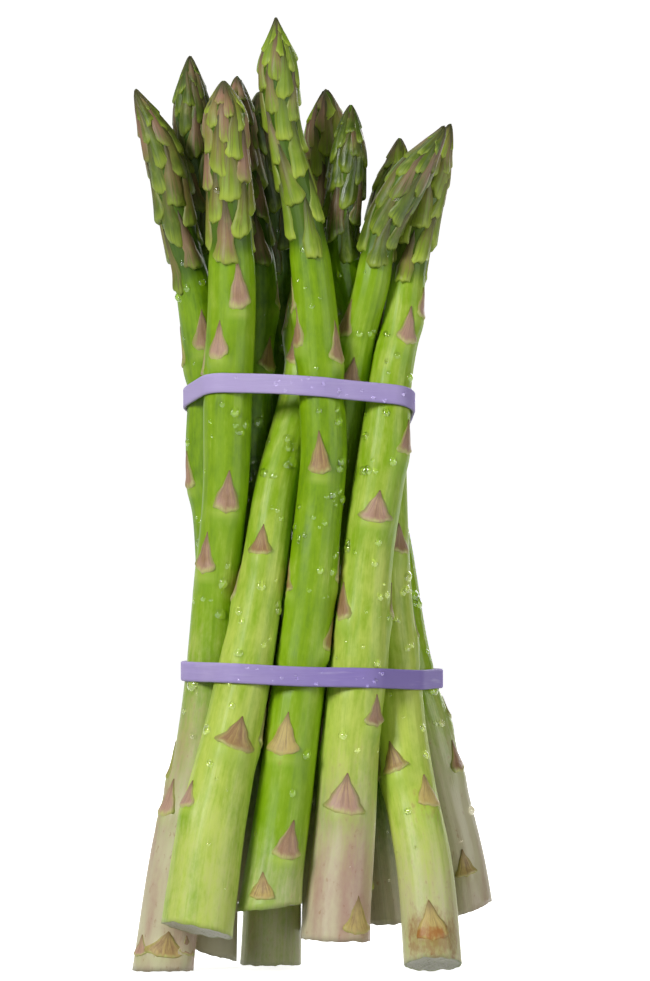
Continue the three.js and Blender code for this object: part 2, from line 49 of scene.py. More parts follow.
# Each spear, as in the part. Path: centre line from foot to tip. Radii: bare stem radius by height.
# Head: length, radius, and how far below the tip its bud and its taper end, with the taper's power.
# Bracts: base height, degrees right of front, length, width, colour from 0 pink by 0.5 brown to 1 straw.
# Cut: height, slope along x, slope along y. Hold: its part of a push between two spears, against the other's.
# Start and turn: where its spiral of leaves begins, in degrees, and which way it winds.
# Bright, headBright, pale, rosy, blush and wet are amounts of about 0 to 1.
# PaleTop is how far up the foot is bleached.
spears = [
    {
        "node": "spear_tall_front",
        "slot": "spear_bright",
        "path": [
            (-11.2, -20, 12), (-7.2, -17.5, 39.5), (-4.6, -16, 60), (-2.3, -14.5, 77), (0.7, -13.5, 107),
            (1.9, -13, 138), (1, -13, 158), (-1.7, -12.5, 181), (-7, -12, 205), (-8.9, -12, 232.3),
        ],
        "radii": [(12, 8), (24, 7.1), (45, 6.6), (77, 6.2), (107, 5.6), (150, 5.2), (180, 4.6), (200, 4.1)],
        "head": (56, 5.4, 28, 13, 1.2), "scaleLength": 12.5,
        "bracts": [
            (17, -15, 7, 7, 0.75), (27.3, 20, 10, 7.8, 0.3), (52, -17, 10.7, 8.3, 0.85),
            (78, 72, 9, 7, 0.5), (91, -78, 8.5, 7, 0.5), (120.8, -8, 10.7, 6, 0.6),
            (147, 60, 11, 6.5, 0.3), (151.5, -70, 11, 6.5, 0.3),
        ],
        "start": 12, "turn": 1, "cut": (15.9, 0.12, 0), "hold": 0.25,
        "bright": 0.66, "headBright": 0.85, "pale": 0.45, "paleTop": 18,
        "rosy": 0.15, "blush": 0.3, "wet": 0.1,
    },
    {
        "node": "spear_left_front",
        "slot": "spear_bright",
        "path": [
            (-36.5, -8, 0), (-32.1, -8, 33), (-28.9, -7.5, 46), (-24.7, -7, 73), (-22.6, -9, 96),
            (-21, -11, 120), (-20.6, -11.5, 140), (-19.6, -12.5, 165), (-20.3, -13, 190), (-21.6, -13, 216.7),
        ],
        "radii": [(0, 7.3), (30, 6.3), (73, 5.8), (107, 5.4), (135, 5.8), (165, 5.7), (178, 5.4)],
        "head": (42, 5.9, 42, 10, 0.8), "scaleLength": 14,
        "bracts": [
            (3.5, 0, 6.5, 11.5, 0.72), (2.8, -52, 5.5, 5.5, 0.15), (4.4, 46, 5, 5, 0.3),
            (36, -50, 9.8, 6.5, 0.1), (96.9, -35, 10.2, 6, 0.3), (112, 5, 10.2, 7.3, 0.3),
            (148.5, -26, 10, 5.8, 0.2), (160.8, 21, 12.4, 6.2, 0.25),
        ],
        "start": -16, "turn": 1, "cut": (0, 0, 0), "hold": 0.3,
        "bright": 0.78, "headBright": 0.9, "pale": 0.95, "paleTop": 70, "rosy": 0.6, "blush": 0.8, "wet": 0.1,
    },
    {
        "node": "spear_left_thick",
        "slot": "spear_bright",
        "path": [
            (-28.2, -26, 5), (-24.9, -23, 33), (-22.2, -21, 46), (-17.1, -17.5, 70), (-12.4, -13, 96),
            (-7.9, -8.5, 120), (-2.6, -4, 140), (0.9, 3, 163), (3, 6.5, 183), (3.3, 7, 205), (3.3, 7, 215.7),
        ],
        "radii": [
            (5, 8.8), (33, 8.2), (46, 7.6), (60, 6.9), (73, 6.6),
            (87, 5.8), (120, 5.2), (165, 4.8), (178, 4.5),
        ],
        "head": (40, 5.6, 40, 11, 0.75), "scaleLength": 14,
        "bracts": [
            (38, -60, 7, 7, 0.2), (53.5, 13, 8.5, 10.7, 0.6),
            (99.8, -15, 8, 6.2, 0.5), (146, -30, 9.5, 6, 0.3),
        ],
        "start": -40, "turn": -1, "cut": (10.6, -0.22, -0.17), "hold": 0.3,
        "bright": 1.05, "headBright": 1.1, "pale": 0.25, "paleTop": 40,
        "rosy": 0.1, "blush": 0.72, "wet": 0.2,
    },
    {
        "node": "spear_right_front",
        "slot": "spear_bright",
        "path": [
            (4.6, -17.5, 4), (7.3, -15, 29), (9.6, -14, 60), (11.3, -13, 77), (13.7, -11.5, 102),
            (17.7, -10.5, 130), (19, -9, 143.5), (21.4, -6, 157), (23.1, -3, 171.5), (25.6, -0.5, 182),
            (29, 1, 194), (34, 1, 206.9),
        ],
        "radii": [
            (4, 8.5), (20, 7.8), (30, 7.5), (60, 7), (75, 7),
            (96, 6.2), (126, 6), (140, 5.2), (152, 4.7), (172, 4.5),
        ],
        "head": (38, 5.1, 38, 15, 0.85), "scaleLength": 12.5,
        "bracts": [
            (8.8, 40, 10, 8, 0.8), (38, -5, 10.5, 11, 0.15), (60, 50, 8, 7, 0.3), (84.4, -50, 9.8, 7, 0.4),
            (109, 5, 8, 8.8, 0.2), (126, 62, 8.5, 7, 0.3),
            (151.8, 25, 9.5, 5.6, 0.1), (158.8, 75, 8, 5.6, 0.2),
        ],
        "start": -12, "turn": 1, "cut": (8, -0.03, 0.02), "hold": 0.3,
        "bright": 1.08, "headBright": 1.2, "pale": 0.95, "paleTop": 40, "rosy": 0.7, "blush": 0.7, "wet": 0.3,
    },
    {
        "node": "spear_right_outer",
        "slot": "spear_bright",
        "path": [
            (29.4, -18.5, 0), (27.2, -14.5, 26), (23.4, -9.5, 46), (19.9, -3.5, 73), (17.8, 0.5, 107),
            (17, 3, 140), (16.8, 5.5, 165), (18.4, 7, 187), (20.8, 8, 196), (21.4, 8, 203.7),
        ],
        "radii": [(0, 6.9), (26, 6.6), (46, 6.2), (73, 5.7), (107, 5.4), (140, 5), (165, 4.6)],
        "head": (38, 4.9, 38, 13, 0.75), "scaleLength": 12,
        "bracts": [
            (7, 3, 10, 9, 1.0), (37.8, 37, 8.5, 7, 0.9), (47.3, -28, 8, 7.3, 0.65), (100.8, 35, 8, 6, 0.4),
        ],
        "start": 60, "turn": 1, "cut": (1.97, 0.03, -0.3), "hold": 0.6,
        "bright": 1.15, "headBright": 0.7, "pale": 0.68, "paleTop": 34, "rosy": 0.4, "blush": 0.5, "wet": 0.4,
    },
    {
        "node": "spear_right_back",
        "slot": "spear_dark",
        "path": [
            (38.6, 8, 8), (36, 8, 26), (31.4, 8, 46), (28.7, 8.5, 57), (23.8, 9, 75), (18.5, 10.5, 107),
            (11, 8.5, 140), (7.6, 0, 165), (7, -3.5, 180), (8.2, -4, 192), (9.4, -4, 211.3),
        ],
        "radii": [(8, 6.6), (40, 5.9), (73, 5.3), (107, 5), (140, 4.8), (165, 4.4)],
        "head": (36, 5, 36, 15, 0.7), "scaleLength": 11,
        "bracts": [(46.4, 60, 8, 6.5, 0.4), (22, 10, 7, 5.5, 0.75)],
        "start": 30, "turn": -1, "cut": (13.6, 0.4, 0.05), "hold": 0.7,
        "bright": 0.8, "headBright": 0.35, "pale": 1.25, "paleTop": 46, "rosy": 0.4, "blush": 0.25, "wet": 1,
    },
    {
        "node": "spear_left_leaning",
        "slot": "spear_dark",
        "path": [
            (-25.5, 5, 0), (-24.6, 5, 25), (-22.8, 4.5, 73), (-22.6, 2, 107), (-23.6, 1, 130), (-25, 0, 142),
            (-27.2, -1.5, 155), (-29.2, -2.5, 168), (-32, -3.5, 180), (-36, -4, 198), (-43.4, -4, 215.2),
        ],
        "radii": [(0, 6.8), (40, 6), (73, 5.6), (107, 5.4), (140, 5.1), (160, 4.6), (172, 4.3)],
        "head": (46, 5.2, 46, 18, 0.85), "scaleLength": 14,
        "bracts": [(118, -70, 9, 6, 0.3), (151.5, 5, 10, 6, 0.3)],
        "start": -60, "turn": -1, "cut": (3.4, -0.3, 0), "hold": 0.6,
        "bright": 0.55, "headBright": 0.42, "pale": 1.3, "paleTop": 30, "rosy": 0.1, "blush": 0.6, "wet": 0,
    },
    {
        "node": "spear_left_back",
        "slot": "spear_dark",
        "path": [
            (3.6, 11.5, 6), (2.2, 11.5, 40), (0, 11, 73),
            (-7.2, 10.5, 107), (-18, 9.5, 140), (-24.5, 6.5, 165),
            (-27.6, 4.5, 180), (-29.2, 4, 200), (-30.1, 4, 223.7),
        ],
        "radii": [(6, 6.2), (73, 5.3), (107, 5.1), (140, 4.8), (175, 4.2)],
        "head": (46, 5, 46, 14, 0.85), "scaleLength": 12,
        "bracts": [],
        "start": 20, "turn": 1, "cut": (8.5, 0, 0.1), "hold": 1,
        "bright": 0.4, "headBright": 0.34, "pale": 1.1, "paleTop": 34, "rosy": 0.3, "blush": 0.3, "wet": 0.2,
    },
    {
        "node": "spear_left_inner",
        "slot": "spear_dark",
        "path": [
            (-12.6, -3, 14), (-12.4, -2.5, 40), (-11.8, -2, 73), (-13.6, -1, 107), (-15.5, -1.5, 135),
            (-14.4, -1.5, 150), (-13.4, -1.5, 167), (-15.3, -2, 185), (-18, -2.5, 205), (-18.4, -2.5, 218.4),
        ],
        "radii": [(14, 6.2), (73, 5.4), (107, 5), (140, 4.8), (175, 4.4)],
        "head": (44, 4.7, 44, 12, 0.75), "scaleLength": 12,
        "bracts": [(146, 45, 9, 6, 0.4)],
        "start": 25, "turn": -1, "cut": (17, 0.05, 0.05), "hold": 1,
        "bright": 0.35, "headBright": 0.35, "pale": 0.7, "paleTop": 30, "rosy": 0.3, "blush": 0.6, "wet": 0.2,
    },
    {
        "node": "spear_middle_inner",
        "slot": "spear_dark",
        "path": [
            (18.2, 3.5, 8), (14.5, 3.5, 40), (10.4, 3, 73), (-2, 7, 107), (-5.6, 9, 140), (-7.2, 9.5, 167),
            (-10, 7.5, 185), (-12.6, 6, 205), (-13.2, 5.5, 215),
        ],
        "radii": [(8, 6.4), (73, 5.6), (107, 5.2), (140, 4.9), (175, 4.4)],
        "head": (42, 4.7, 42, 11, 0.7), "scaleLength": 12,
        "bracts": [],
        "start": -10, "turn": 1, "cut": (11, 0.04, 0.05), "hold": 1,
        "bright": 0.2, "headBright": 0.2, "pale": 0.8, "paleTop": 30, "rosy": 0.25, "blush": 0.15, "wet": 0.3,
    },
    {
        "node": "spear_right_leaning",
        "slot": "spear_dark",
        "path": [
            (-10.4, 15, 0), (-8.6, 10.5, 30), (-3.2, 1.5, 73), (3.4, -1.5, 107), (6.8, -4, 128),
            (8.5, -5.5, 140), (11.2, -6, 155), (13.5, -6.5, 166),
            (17, -7.5, 180), (24.3, -9, 193), (32.6, -9, 206),
        ],
        "radii": [(0, 7.3), (20, 6.7), (73, 5.5), (107, 5.2), (140, 4.6), (160, 4.2), (172, 4.1)],
        "head": (33, 5.3, 33, 15, 0.85), "scaleLength": 12,
        "bracts": [(142, 0, 8, 6, 0.3), (153.9, -60, 9, 6, 0.4)],
        "start": 5, "turn": 1, "cut": (0, 0, 0), "hold": 0.7,
        "bright": 0.85, "headBright": 0.42, "pale": 0.6, "paleTop": 26, "rosy": 0.2, "blush": 0.4, "wet": 0.3,
    },
]

# The scales wind from start lengths of the head up to stop mm below the tip, in ever smaller steps
headForm = {
    "neckSpread": 3, "neckFlare": 0.5, "proud": 1.1, "share": 0.3, "start": 1.06, "stop": 4,
    "full": (8, 32), "longer": 2.5, "step": 0.05, "leastStep": 0.72,
}

# The tie presses the centre lines apart level by level, as in the part
press = {"gap": 0.7, "step": 4, "levels": 60, "rounds": 300, "ease": 0.8, "spread": 4}


def smoothValue(points, keys):
    # a smooth line through (key, value) points, level past both ends
    xs = np.array([p[0] for p in points], float)
    ys = np.array([p[1] for p in points], float)
    keys = np.clip(np.asarray(keys, float), xs[0], xs[-1])
    slopes = np.diff(ys) / np.diff(xs)
    ends = np.concatenate([slopes[:1], (slopes[1:] + slopes[:-1]) / 2, slopes[-1:]])
    i = np.clip(np.searchsorted(xs, keys, side="left") - 1, 0, len(xs) - 2)
    span = xs[i + 1] - xs[i]
    t = (keys - xs[i]) / span
    bump = t * t * (3 - 2 * t)
    rise = t * (1 - t) ** 2 * ends[i] - t * t * (1 - t) * ends[i + 1]
    return ys[i] + (ys[i + 1] - ys[i]) * bump + rise * span


def smoothStep(value, low, high):
    t = np.clip((value - low) / (high - low), 0, 1)
    return t * t * (3 - 2 * t)


def tipOf(spear):
    return spear["path"][-1][2]


def neckOf(spear):
    return tipOf(spear) - spear["head"][0]


def inHead(spear, z):
    neck = neckOf(spear)
    return smoothStep(z, neck - headForm["neckSpread"], neck + headForm["neckSpread"])


def outlineRadius(spear, z):
    # radius with the scales on
    _, radius, bud, taper, point = spear["head"]
    left = np.maximum(tipOf(spear) - z, 0)
    stem = smoothValue(spear["radii"], z) + headForm["neckFlare"] * inHead(spear, z)
    full = stem + (radius - stem) * (1 - smoothStep(left, taper, bud))
    return full * np.sin(np.minimum(1, left / taper) * math.pi / 2) ** point


def proudOf(outline):
    return np.minimum(headForm["proud"], outline * headForm["share"])


def coreRadius(spear, z):
    # radius between the scales
    outline = outlineRadius(spear, z)
    return outline - inHead(spear, z) * proudOf(outline)


def pressTogether():
    levels = np.arange(press["levels"]) * press["step"]
    lines = []
    for spear in spears:
        heights = [p[2] for p in spear["path"]]
        lines.append(np.stack([
            smoothValue(list(zip(heights, [p[axis] for p in spear["path"]])), levels) for axis in (0, 1)
        ], 1))
    lines = np.array(lines)
    radii = np.array([outlineRadius(spear, levels) for spear in spears])
    tips = [tipOf(spear) for spear in spears]
    below = np.maximum(np.arange(press["levels"]) - 1, 0)
    above = np.minimum(np.arange(press["levels"]) + 1, press["levels"] - 1)
    for _ in range(press["rounds"]):
        run = np.linalg.norm(lines[:, above] - lines[:, below], axis=2) / (2 * press["step"])
        wide = radii * np.hypot(1, run)
        moves = np.zeros_like(lines)
        for i in range(len(spears)):
            for j in range(i + 1, len(spears)):
                gap = lines[j] - lines[i]
                apart = np.hypot(gap[:, 0], gap[:, 1])
                reach = wide[i] + wide[j] + press["gap"]
                near = (apart < reach) & (levels <= min(tips[i], tips[j]))
                push = np.where(near, (reach - apart) / apart, 0)[:, None] * gap
                share = spears[i]["hold"] / (spears[i]["hold"] + spears[j]["hold"])
                moves[i] -= push * share
                moves[j] += push * (1 - share)
        for _ in range(press["spread"]):
            moves = (moves[:, below] + 2 * moves + moves[:, above]) / 4
        lines = lines + moves * press["ease"]
    for spear, line in zip(spears, lines):
        spear["lineX"] = list(zip(levels, line[:, 0]))
        spear["lineY"] = list(zip(levels, line[:, 1]))


def centreAt(spear, z):
    z = np.asarray(z, float)
    return np.stack([smoothValue(spear["lineX"], z), smoothValue(spear["lineY"], z), z], -1)


def frameAt(spear, z):
    # the centre, the direction along the stem, and the directions to the right and to the back across it
    along = centreAt(spear, z + 1) - centreAt(spear, z - 1)
    along /= np.linalg.norm(along, axis=-1, keepdims=True)
    right = np.array([1.0, 0, 0]) - along * along[..., :1]
    right /= np.linalg.norm(right, axis=-1, keepdims=True)
    return centreAt(spear, z), along, right, np.cross(along, right)


def bend(spear, angle, radius, z):
    # from the straight spear to its place: the angle is in radians to the right of the front
    centre, along, right, back = frameAt(spear, z)
    sin, cos = np.sin(angle)[..., None], np.cos(angle)[..., None]
    return centre + (right * sin - back * cos) * np.asarray(radius)[..., None]


pressTogether()
print("spears pressed together")

# Bands: height of the middle at x = y = 0, and its change for each mm of x and y
bandForm = {
    "height": 4.9, "thickness": 0.9, "clearance": 0.4, "directions": 54, "crossingSteps": 6,
    "looksClearance": 0.16, "looksDirections": 360, "edge": 0.34, "waver": 0.12, "wavers": 5,
    "sides": 26, "marks": 300,
}
bands = [
    {"node": "upper_band", "name": "upper_rubber_band", "slot": "band_pale",
     "z": 137.7, "slopeX": -0.06, "slopeY": -0.235, "deep": 0.25, "seed": 3},
    {"node": "lower_band", "name": "lower_rubber_band", "slot": "band_deep",
     "z": 71.9, "slopeX": -0.037, "slopeY": -0.005, "deep": 0.75, "seed": 8},
]


def bandLevel(band, x, y):
    return band["z"] + band["slopeX"] * x + band["slopeY"] * y


def bandOutline(band, offset, directions):
    # the tightest loop round all the stems, a given distance off them
    discs = []
    for spear in spears:
        for part in (-0.5, 0, 0.5):
            z = band["z"]
            for _ in range(bandForm["crossingSteps"]):
                x, y, _ = centreAt(spear, z)
                z = bandLevel(band, x, y) + part * bandForm["height"]
            centre, along, _, _ = frameAt(spear, z)
            discs.append((centre[0], centre[1], float(outlineRadius(spear, z)) / along[2] + offset))
    x, y, r = np.array(discs).T
    angles = np.arange(directions) / directions * 2 * math.pi
    loop = []
    for cos, sin in zip(np.cos(angles), np.sin(angles)):
        far = int(np.argmax(x * cos + y * sin + r))
        loop.append((x[far] + r[far] * cos, y[far] + r[far] * sin))
    return np.array(loop)


def findShift():
    # the part was centred on its footprint, so its bands say how far it moved
    band = bands[1]
    low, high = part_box(band["node"])
    loop = bandOutline(band, bandForm["clearance"] + bandForm["thickness"], bandForm["directions"])
    middle = (loop.min(0) + loop.max(0)) / 2
    lowest = bandLevel(band, loop[:, 0], loop[:, 1]).min() - bandForm["height"] / 2
    packed = (np.array(low) + np.array(high)) / 2 / metre
    return np.array([packed[0] - middle[0], packed[1] - middle[1], low[2] / metre - lowest])


shift = findShift()
print("shift to the packed part, mm:", np.round(shift, 3))


class Link:
    # a node's output that can be used in sums
    def __init__(self, desk, socket):
        self.desk = desk
        self.socket = socket

    def reckon(self, operation, first, second):
        return self.desk.add("ShaderNodeMath", {"operation": operation}, {0: first, 1: second})

    def __add__(self, other):
        return self.reckon("ADD", self, other)

    def __radd__(self, other):
        return self.reckon("ADD", other, self)

    def __sub__(self, other):
        return self.reckon("SUBTRACT", self, other)

    def __rsub__(self, other):
        return self.reckon("SUBTRACT", other, self)

    def __mul__(self, other):
        return self.reckon("MULTIPLY", self, other)

    def __rmul__(self, other):
        return self.reckon("MULTIPLY", other, self)

    def __pow__(self, other):
        return self.reckon("POWER", self, other)


class Desk:
    # one node tree and the nodes that are laid out in it
    def __init__(self, tree):
        self.tree = tree

    def add(self, kind, settings=None, inputs=None, output=0):
        node = self.tree.nodes.new(kind)
        for key, value in (settings or {}).items():
            setattr(node, key, value)
        for key, value in (inputs or {}).items():
            if isinstance(value, Link):
                self.tree.links.new(value.socket, node.inputs[key])
            else:
                node.inputs[key].default_value = value
        return Link(self, node.outputs[output]) if len(node.outputs) else node

    def spread(self, value, low, high):
        # 0 below low, 1 above high, smooth between
        inputs = {0: value, 1: low, 2: high, 3: 0.0, 4: 1.0}
        return self.add("ShaderNodeMapRange", {"interpolation_type": "SMOOTHSTEP"}, inputs)

    def blend(self, factor, first, second):
        settings = {"data_type": "RGBA", "blend_type": "MIX", "clamp_factor": True}
        return self.add("ShaderNodeMix", settings, {0: factor, 6: first, 7: second}, 2)

    def reach(self, name, output=2):
        # a named value that the mesh carries: output 1 is a vector, 2 a number
        return self.add("ShaderNodeAttribute", {"attribute_name": name}, {}, output)

    def stretch(self, vector, by):
        return self.add("ShaderNodeVectorMath", {"operation": "MULTIPLY"}, {0: vector, 1: by})

    def noise(self, vector, scale=1.0, detail=3.0, rough=0.5):
        inputs = {"Vector": vector, "Scale": scale, "Detail": detail, "Roughness": rough}
        return self.add("ShaderNodeTexNoise", {}, inputs)

    def part(self, vector, axis):
        return self.add("ShaderNodeSeparateXYZ", {}, {0: vector}, axis)

    def amount(self, value):
        # how large a number is, without its sign
        return self.add("ShaderNodeMath", {"operation": "ABSOLUTE"}, {0: value})

    def grain(self, across, along, own, how):
        # fine lines along a leaf, other ones on each leaf
        lines = self.add("ShaderNodeCombineXYZ", {}, {0: across * how[0], 1: along * how[1], 2: own * 60.0})
        return self.noise(lines, 1.0, 3.0, how[2])


def tone(red, green, blue):
    # a colour as a paint chart gives it, from 0 to 255
    def linear(value):
        value /= 255
        return value / 12.92 if value <= 0.04045 else ((value + 0.055) / 1.055) ** 2.4

    return (linear(red), linear(green), linear(blue), 1.0)


def newMaterial(name):
    material = bpy.data.materials.new(name)
    material.use_nodes = True
    material.node_tree.nodes.clear()
    return material, Desk(material.node_tree)


def finishMaterial(desk, settings, bump=None, strength=0.3, depth=0.0003):
    inputs = dict(settings)
    if bump is not None:
        inputs["Normal"] = desk.add(
            "ShaderNodeBump", {}, {"Height": bump, "Strength": strength, "Distance": depth})
    shader = desk.add("ShaderNodeBsdfPrincipled", {}, inputs)
    desk.add("ShaderNodeOutputMaterial", {}, {"Surface": shader})


stemFinish = {
    "deep": tone(66, 108, 4), "fresh": tone(140, 180, 8), "lime": tone(204, 222, 98),
    "bleached": tone(216, 210, 172), "rosy": tone(190, 156, 138), "stain": tone(158, 108, 46),
    # the darkest green on the next line is painted shade: it colours the stem core that shows between the
    # head's scales
    "vivid": tone(128, 180, 20), "gapShade": tone(34, 66, 6),
    "roughness": 0.45, "coat": 0.05, "coatRoughness": 0.25, "gloss": 0.28,
}


def stemMaterial():
    material, desk = newMaterial("asparagus stem skin")
    skin = desk.reach("skin", 1)
    streak = desk.noise(desk.stretch(skin, (1.1, 1.1, 0.035)), 1.0, 4.0, 0.6)
    thread = desk.noise(desk.stretch(skin, (3.4, 3.4, 0.09)), 1.0, 3.0, 0.55)
    broad = desk.noise(desk.stretch(skin, (0.16, 0.16, 0.035)), 1.0, 3.0, 0.5)
    fleck = desk.noise(desk.stretch(skin, (0.9, 0.9, 0.45)), 1.0, 4.0, 0.62)
    bright = desk.reach("bright")
    pale = desk.reach("pale")
    rosy = desk.reach("rosy")
    cloud = desk.noise(desk.stretch(skin, (0.3, 0.3, 0.12)), 1.0, 4.0, 0.6)
    level = bright + (streak - 0.5) * 0.3 + (thread - 0.5) * 0.3 + (broad - 0.5) * 0.8
    level = level + (fleck - 0.5) * 0.35 + (cloud - 0.5) * 0.9
    colour = desk.blend(desk.spread(level, -0.1, 0.75), stemFinish["deep"], stemFinish["fresh"])
    colour = desk.blend(desk.spread(level, 0.6, 1.35), colour, stemFinish["lime"])
    bleach = desk.spread(pale + (streak - 0.5) * 0.4 + (fleck - 0.5) * 0.4, 0.05, 0.95)
    pink = desk.spread(rosy + (fleck - 0.5) * 0.4 + (broad - 0.5) * 1.8, 0.25, 1.1)
    bleached = desk.blend(pink, stemFinish["bleached"], stemFinish["rosy"])
    colour = desk.blend(bleach, colour, bleached)
    stain = desk.spread(fleck, 0.6, 0.74) * bleach * 0.45
    colour = desk.blend(stain, colour, stemFinish["stain"])
    # painted shade: the stem core between the head's scales is darkened towards a near-black green
    colour = desk.blend(desk.reach("gapShade"), colour, stemFinish["gapShade"])
    green = 1.0 - bleach * 0.85
    colour = desk.blend(desk.reach("swell") * green * 0.5, colour, stemFinish["vivid"])
    colour = desk.blend(desk.reach("halo") * green * 0.6, colour, stemFinish["lime"])
    rust = desk.spread(desk.reach("rust") + (fleck - 0.5) * 1.2 + (cloud - 0.5) * 0.8, 0.3, 1.0)
    colour = desk.blend(rust * 0.7, colour, stemFinish["stain"])
    roughness = stemFinish["roughness"] + (fleck - 0.5) * 0.2 - desk.reach("wet") * 0.2
    height = streak * 0.5 + thread * 0.45 + fleck * 0.4
    finishMaterial(desk, {
        "Base Color": colour, "Roughness": roughness,
        "Coat Weight": stemFinish["coat"], "Coat Roughness": stemFinish["coatRoughness"],
        "Specular IOR Level": stemFinish["gloss"],
    }, height, 0.35, 0.00035)
    return material


scaleFinish = {
    "lip": tone(190, 210, 72), "body": tone(132, 160, 36), "dim": tone(40, 60, 12),
    "brown": tone(150, 132, 68), "plum": tone(164, 124, 102), "tip": tone(58, 50, 26),
    "edge": tone(176, 178, 100), "roughness": 0.5,
}


def scaleMaterial():
    material, desk = newMaterial("asparagus scale")
    leaf = desk.reach("leaf", 1)
    across = desk.part(leaf, 0)
    along = desk.part(leaf, 1)
    own = desk.reach("own")
    vein = desk.grain(across, along, own, (5.5, 0.9, 0.6))
    patch = desk.noise(desk.stretch(desk.reach("skin", 1), (0.45, 0.45, 0.25)), 1.0, 3.0, 0.6)
    blush = desk.reach("blush")
    bright = desk.reach("bright")
    lit = desk.spread(bright + (patch - 0.5) * 0.7, 0.0, 1.0)
    body = desk.blend(lit, scaleFinish["dim"], scaleFinish["body"])
    pink = desk.spread(own + (patch - 0.5) * 0.5, 0.35, 0.8)
    warm = desk.blend(pink, scaleFinish["brown"], scaleFinish["plum"])
    ripe = desk.spread(along * 0.9 + (vein - 0.5) * 1.3 + blush * 0.85 + (own - 0.5) * 0.55, 0.45, 1.25)
    colour = desk.blend(ripe, body, warm)
    colour = desk.blend(desk.spread(vein, 0.52, 0.75) * 0.4, colour, scaleFinish["dim"])
    colour = desk.blend(desk.spread(patch, 0.55, 0.8) * 0.5, colour, scaleFinish["edge"])
    shade = desk.spread(along + (vein - 0.5) * 0.3, 0.25, 0.9)
    colour = desk.blend(shade * 0.8, colour, scaleFinish["dim"])
    rim = desk.spread(desk.amount(across), 0.78, 0.98)
    colour = desk.blend(rim * 0.25, colour, scaleFinish["edge"])
    lip = desk.spread(along + (vein - 0.5) * 0.4 + own * 0.12 + (patch - 0.5) * 0.2, 0.27, 0.0)
    lipTone = desk.blend(desk.spread(bright, 0.0, 0.8), scaleFinish["body"], scaleFinish["lip"])
    colour = desk.blend(lip * 0.7, colour, lipTone)
    colour = desk.blend(desk.spread(along, 0.84, 1.0) * 0.6, colour, scaleFinish["tip"])
    roughness = scaleFinish["roughness"] + (patch - 0.5) * 0.2 - desk.reach("wet") * 0.22
    finishMaterial(desk, {
        "Base Color": colour, "Roughness": roughness, "Coat Weight": 0.05, "Coat Roughness": 0.35,
        "Specular IOR Level": 0.35,
    }, vein + patch, 0.35, 0.0003)
    return material


bractFinish = {
    "base": tone(208, 214, 122), "mauve": tone(190, 152, 132), "straw": tone(204, 182, 108),
    "plum": tone(156, 118, 78), "tip": tone(112, 82, 52), "green": tone(158, 176, 74),
    "rust": tone(168, 102, 36), "roughness": 0.55,
}


def bractMaterial():
    material, desk = newMaterial("asparagus bract")
    leaf = desk.reach("leaf", 1)
    across = desk.part(leaf, 0)
    along = desk.part(leaf, 1)
    own = desk.reach("own")
    vein = desk.grain(across, along, own, (6.5, 0.8, 0.65))
    patch = desk.noise(desk.stretch(desk.reach("skin", 1), (0.5, 0.5, 0.35)), 1.0, 3.0, 0.6)
    ripe = desk.spread(own + (patch - 0.5) * 0.5, 0.1, 0.5)
    colour = desk.blend(ripe, bractFinish["mauve"], bractFinish["plum"])
    dry = desk.spread(own + (patch - 0.5) * 0.6 + (vein - 0.5) * 0.35, 0.5, 0.95)
    colour = desk.blend(dry, colour, bractFinish["straw"])
    colour = desk.blend(desk.spread(vein + along * 0.2, 0.5, 0.8) * 0.4, colour, bractFinish["straw"])
    colour = desk.blend(desk.spread(vein - along * 0.15, 0.48, 0.28) * 0.35, colour, bractFinish["tip"])
    rim = desk.spread(along + (vein - 0.5) * 0.3 + (patch - 0.5) * 0.2 + dry * 0.08, 0.2, 0.0)
    colour = desk.blend(rim * 0.85, colour, bractFinish["base"])
    side = desk.spread(desk.amount(across) + (patch - 0.5) * 0.7, 0.6, 1.1)
    colour = desk.blend(side * (1.0 - dry * 0.8) * 0.7, colour, bractFinish["green"])
    burnt = desk.spread(own, 0.9, 1.0) * desk.spread(patch + (0.4 - along) * 0.6, 0.4, 0.75)
    colour = desk.blend(burnt * 0.85, colour, bractFinish["rust"])
    colour = desk.blend(desk.spread(along + (patch - 0.5) * 0.3, 0.6, 1.0) * 0.65, colour, bractFinish["tip"])
    finishMaterial(desk, {
        "Base Color": colour, "Roughness": bractFinish["roughness"] - desk.reach("wet") * 0.2,
    }, vein + patch, 0.4, 0.0003)
    return material


cutFinish = {
    "flesh": tone(246, 244, 222), "pith": tone(230, 232, 194), "fibre": tone(186, 184, 132),
    "rind": tone(178, 192, 110), "roughness": 0.5,
}


def cutMaterial():
    material, desk = newMaterial("asparagus cut face")
    skin = desk.reach("skin", 1)
    out = desk.reach("out")
    dots = desk.add("ShaderNodeTexVoronoi", {}, {"Vector": desk.stretch(skin, (1.0, 1.0, 0.2)), "Scale": 0.9})
    grain = desk.noise(desk.stretch(skin, (1.6, 1.6, 0.4)), 1.0, 4.0, 0.6)
    colour = desk.blend(desk.spread(grain, 0.35, 0.7), cutFinish["flesh"], cutFinish["pith"])
    colour = desk.blend(desk.spread(dots, 0.3, 0.12) * 0.6, colour, cutFinish["fibre"])
    colour = desk.blend(desk.spread(out + (grain - 0.5) * 0.12, 0.86, 0.99) * 0.75, colour, cutFinish["rind"])
    finishMaterial(desk, {"Base Color": colour, "Roughness": cutFinish["roughness"]},
                   grain - desk.spread(dots, 0.35, 0.1) * 0.5, 0.6, 0.0004)
    return material


bandFinish = {
    "pale": tone(190, 174, 224), "deep": tone(142, 124, 196), "worn": tone(208, 198, 234), "roughness": 0.62,
}


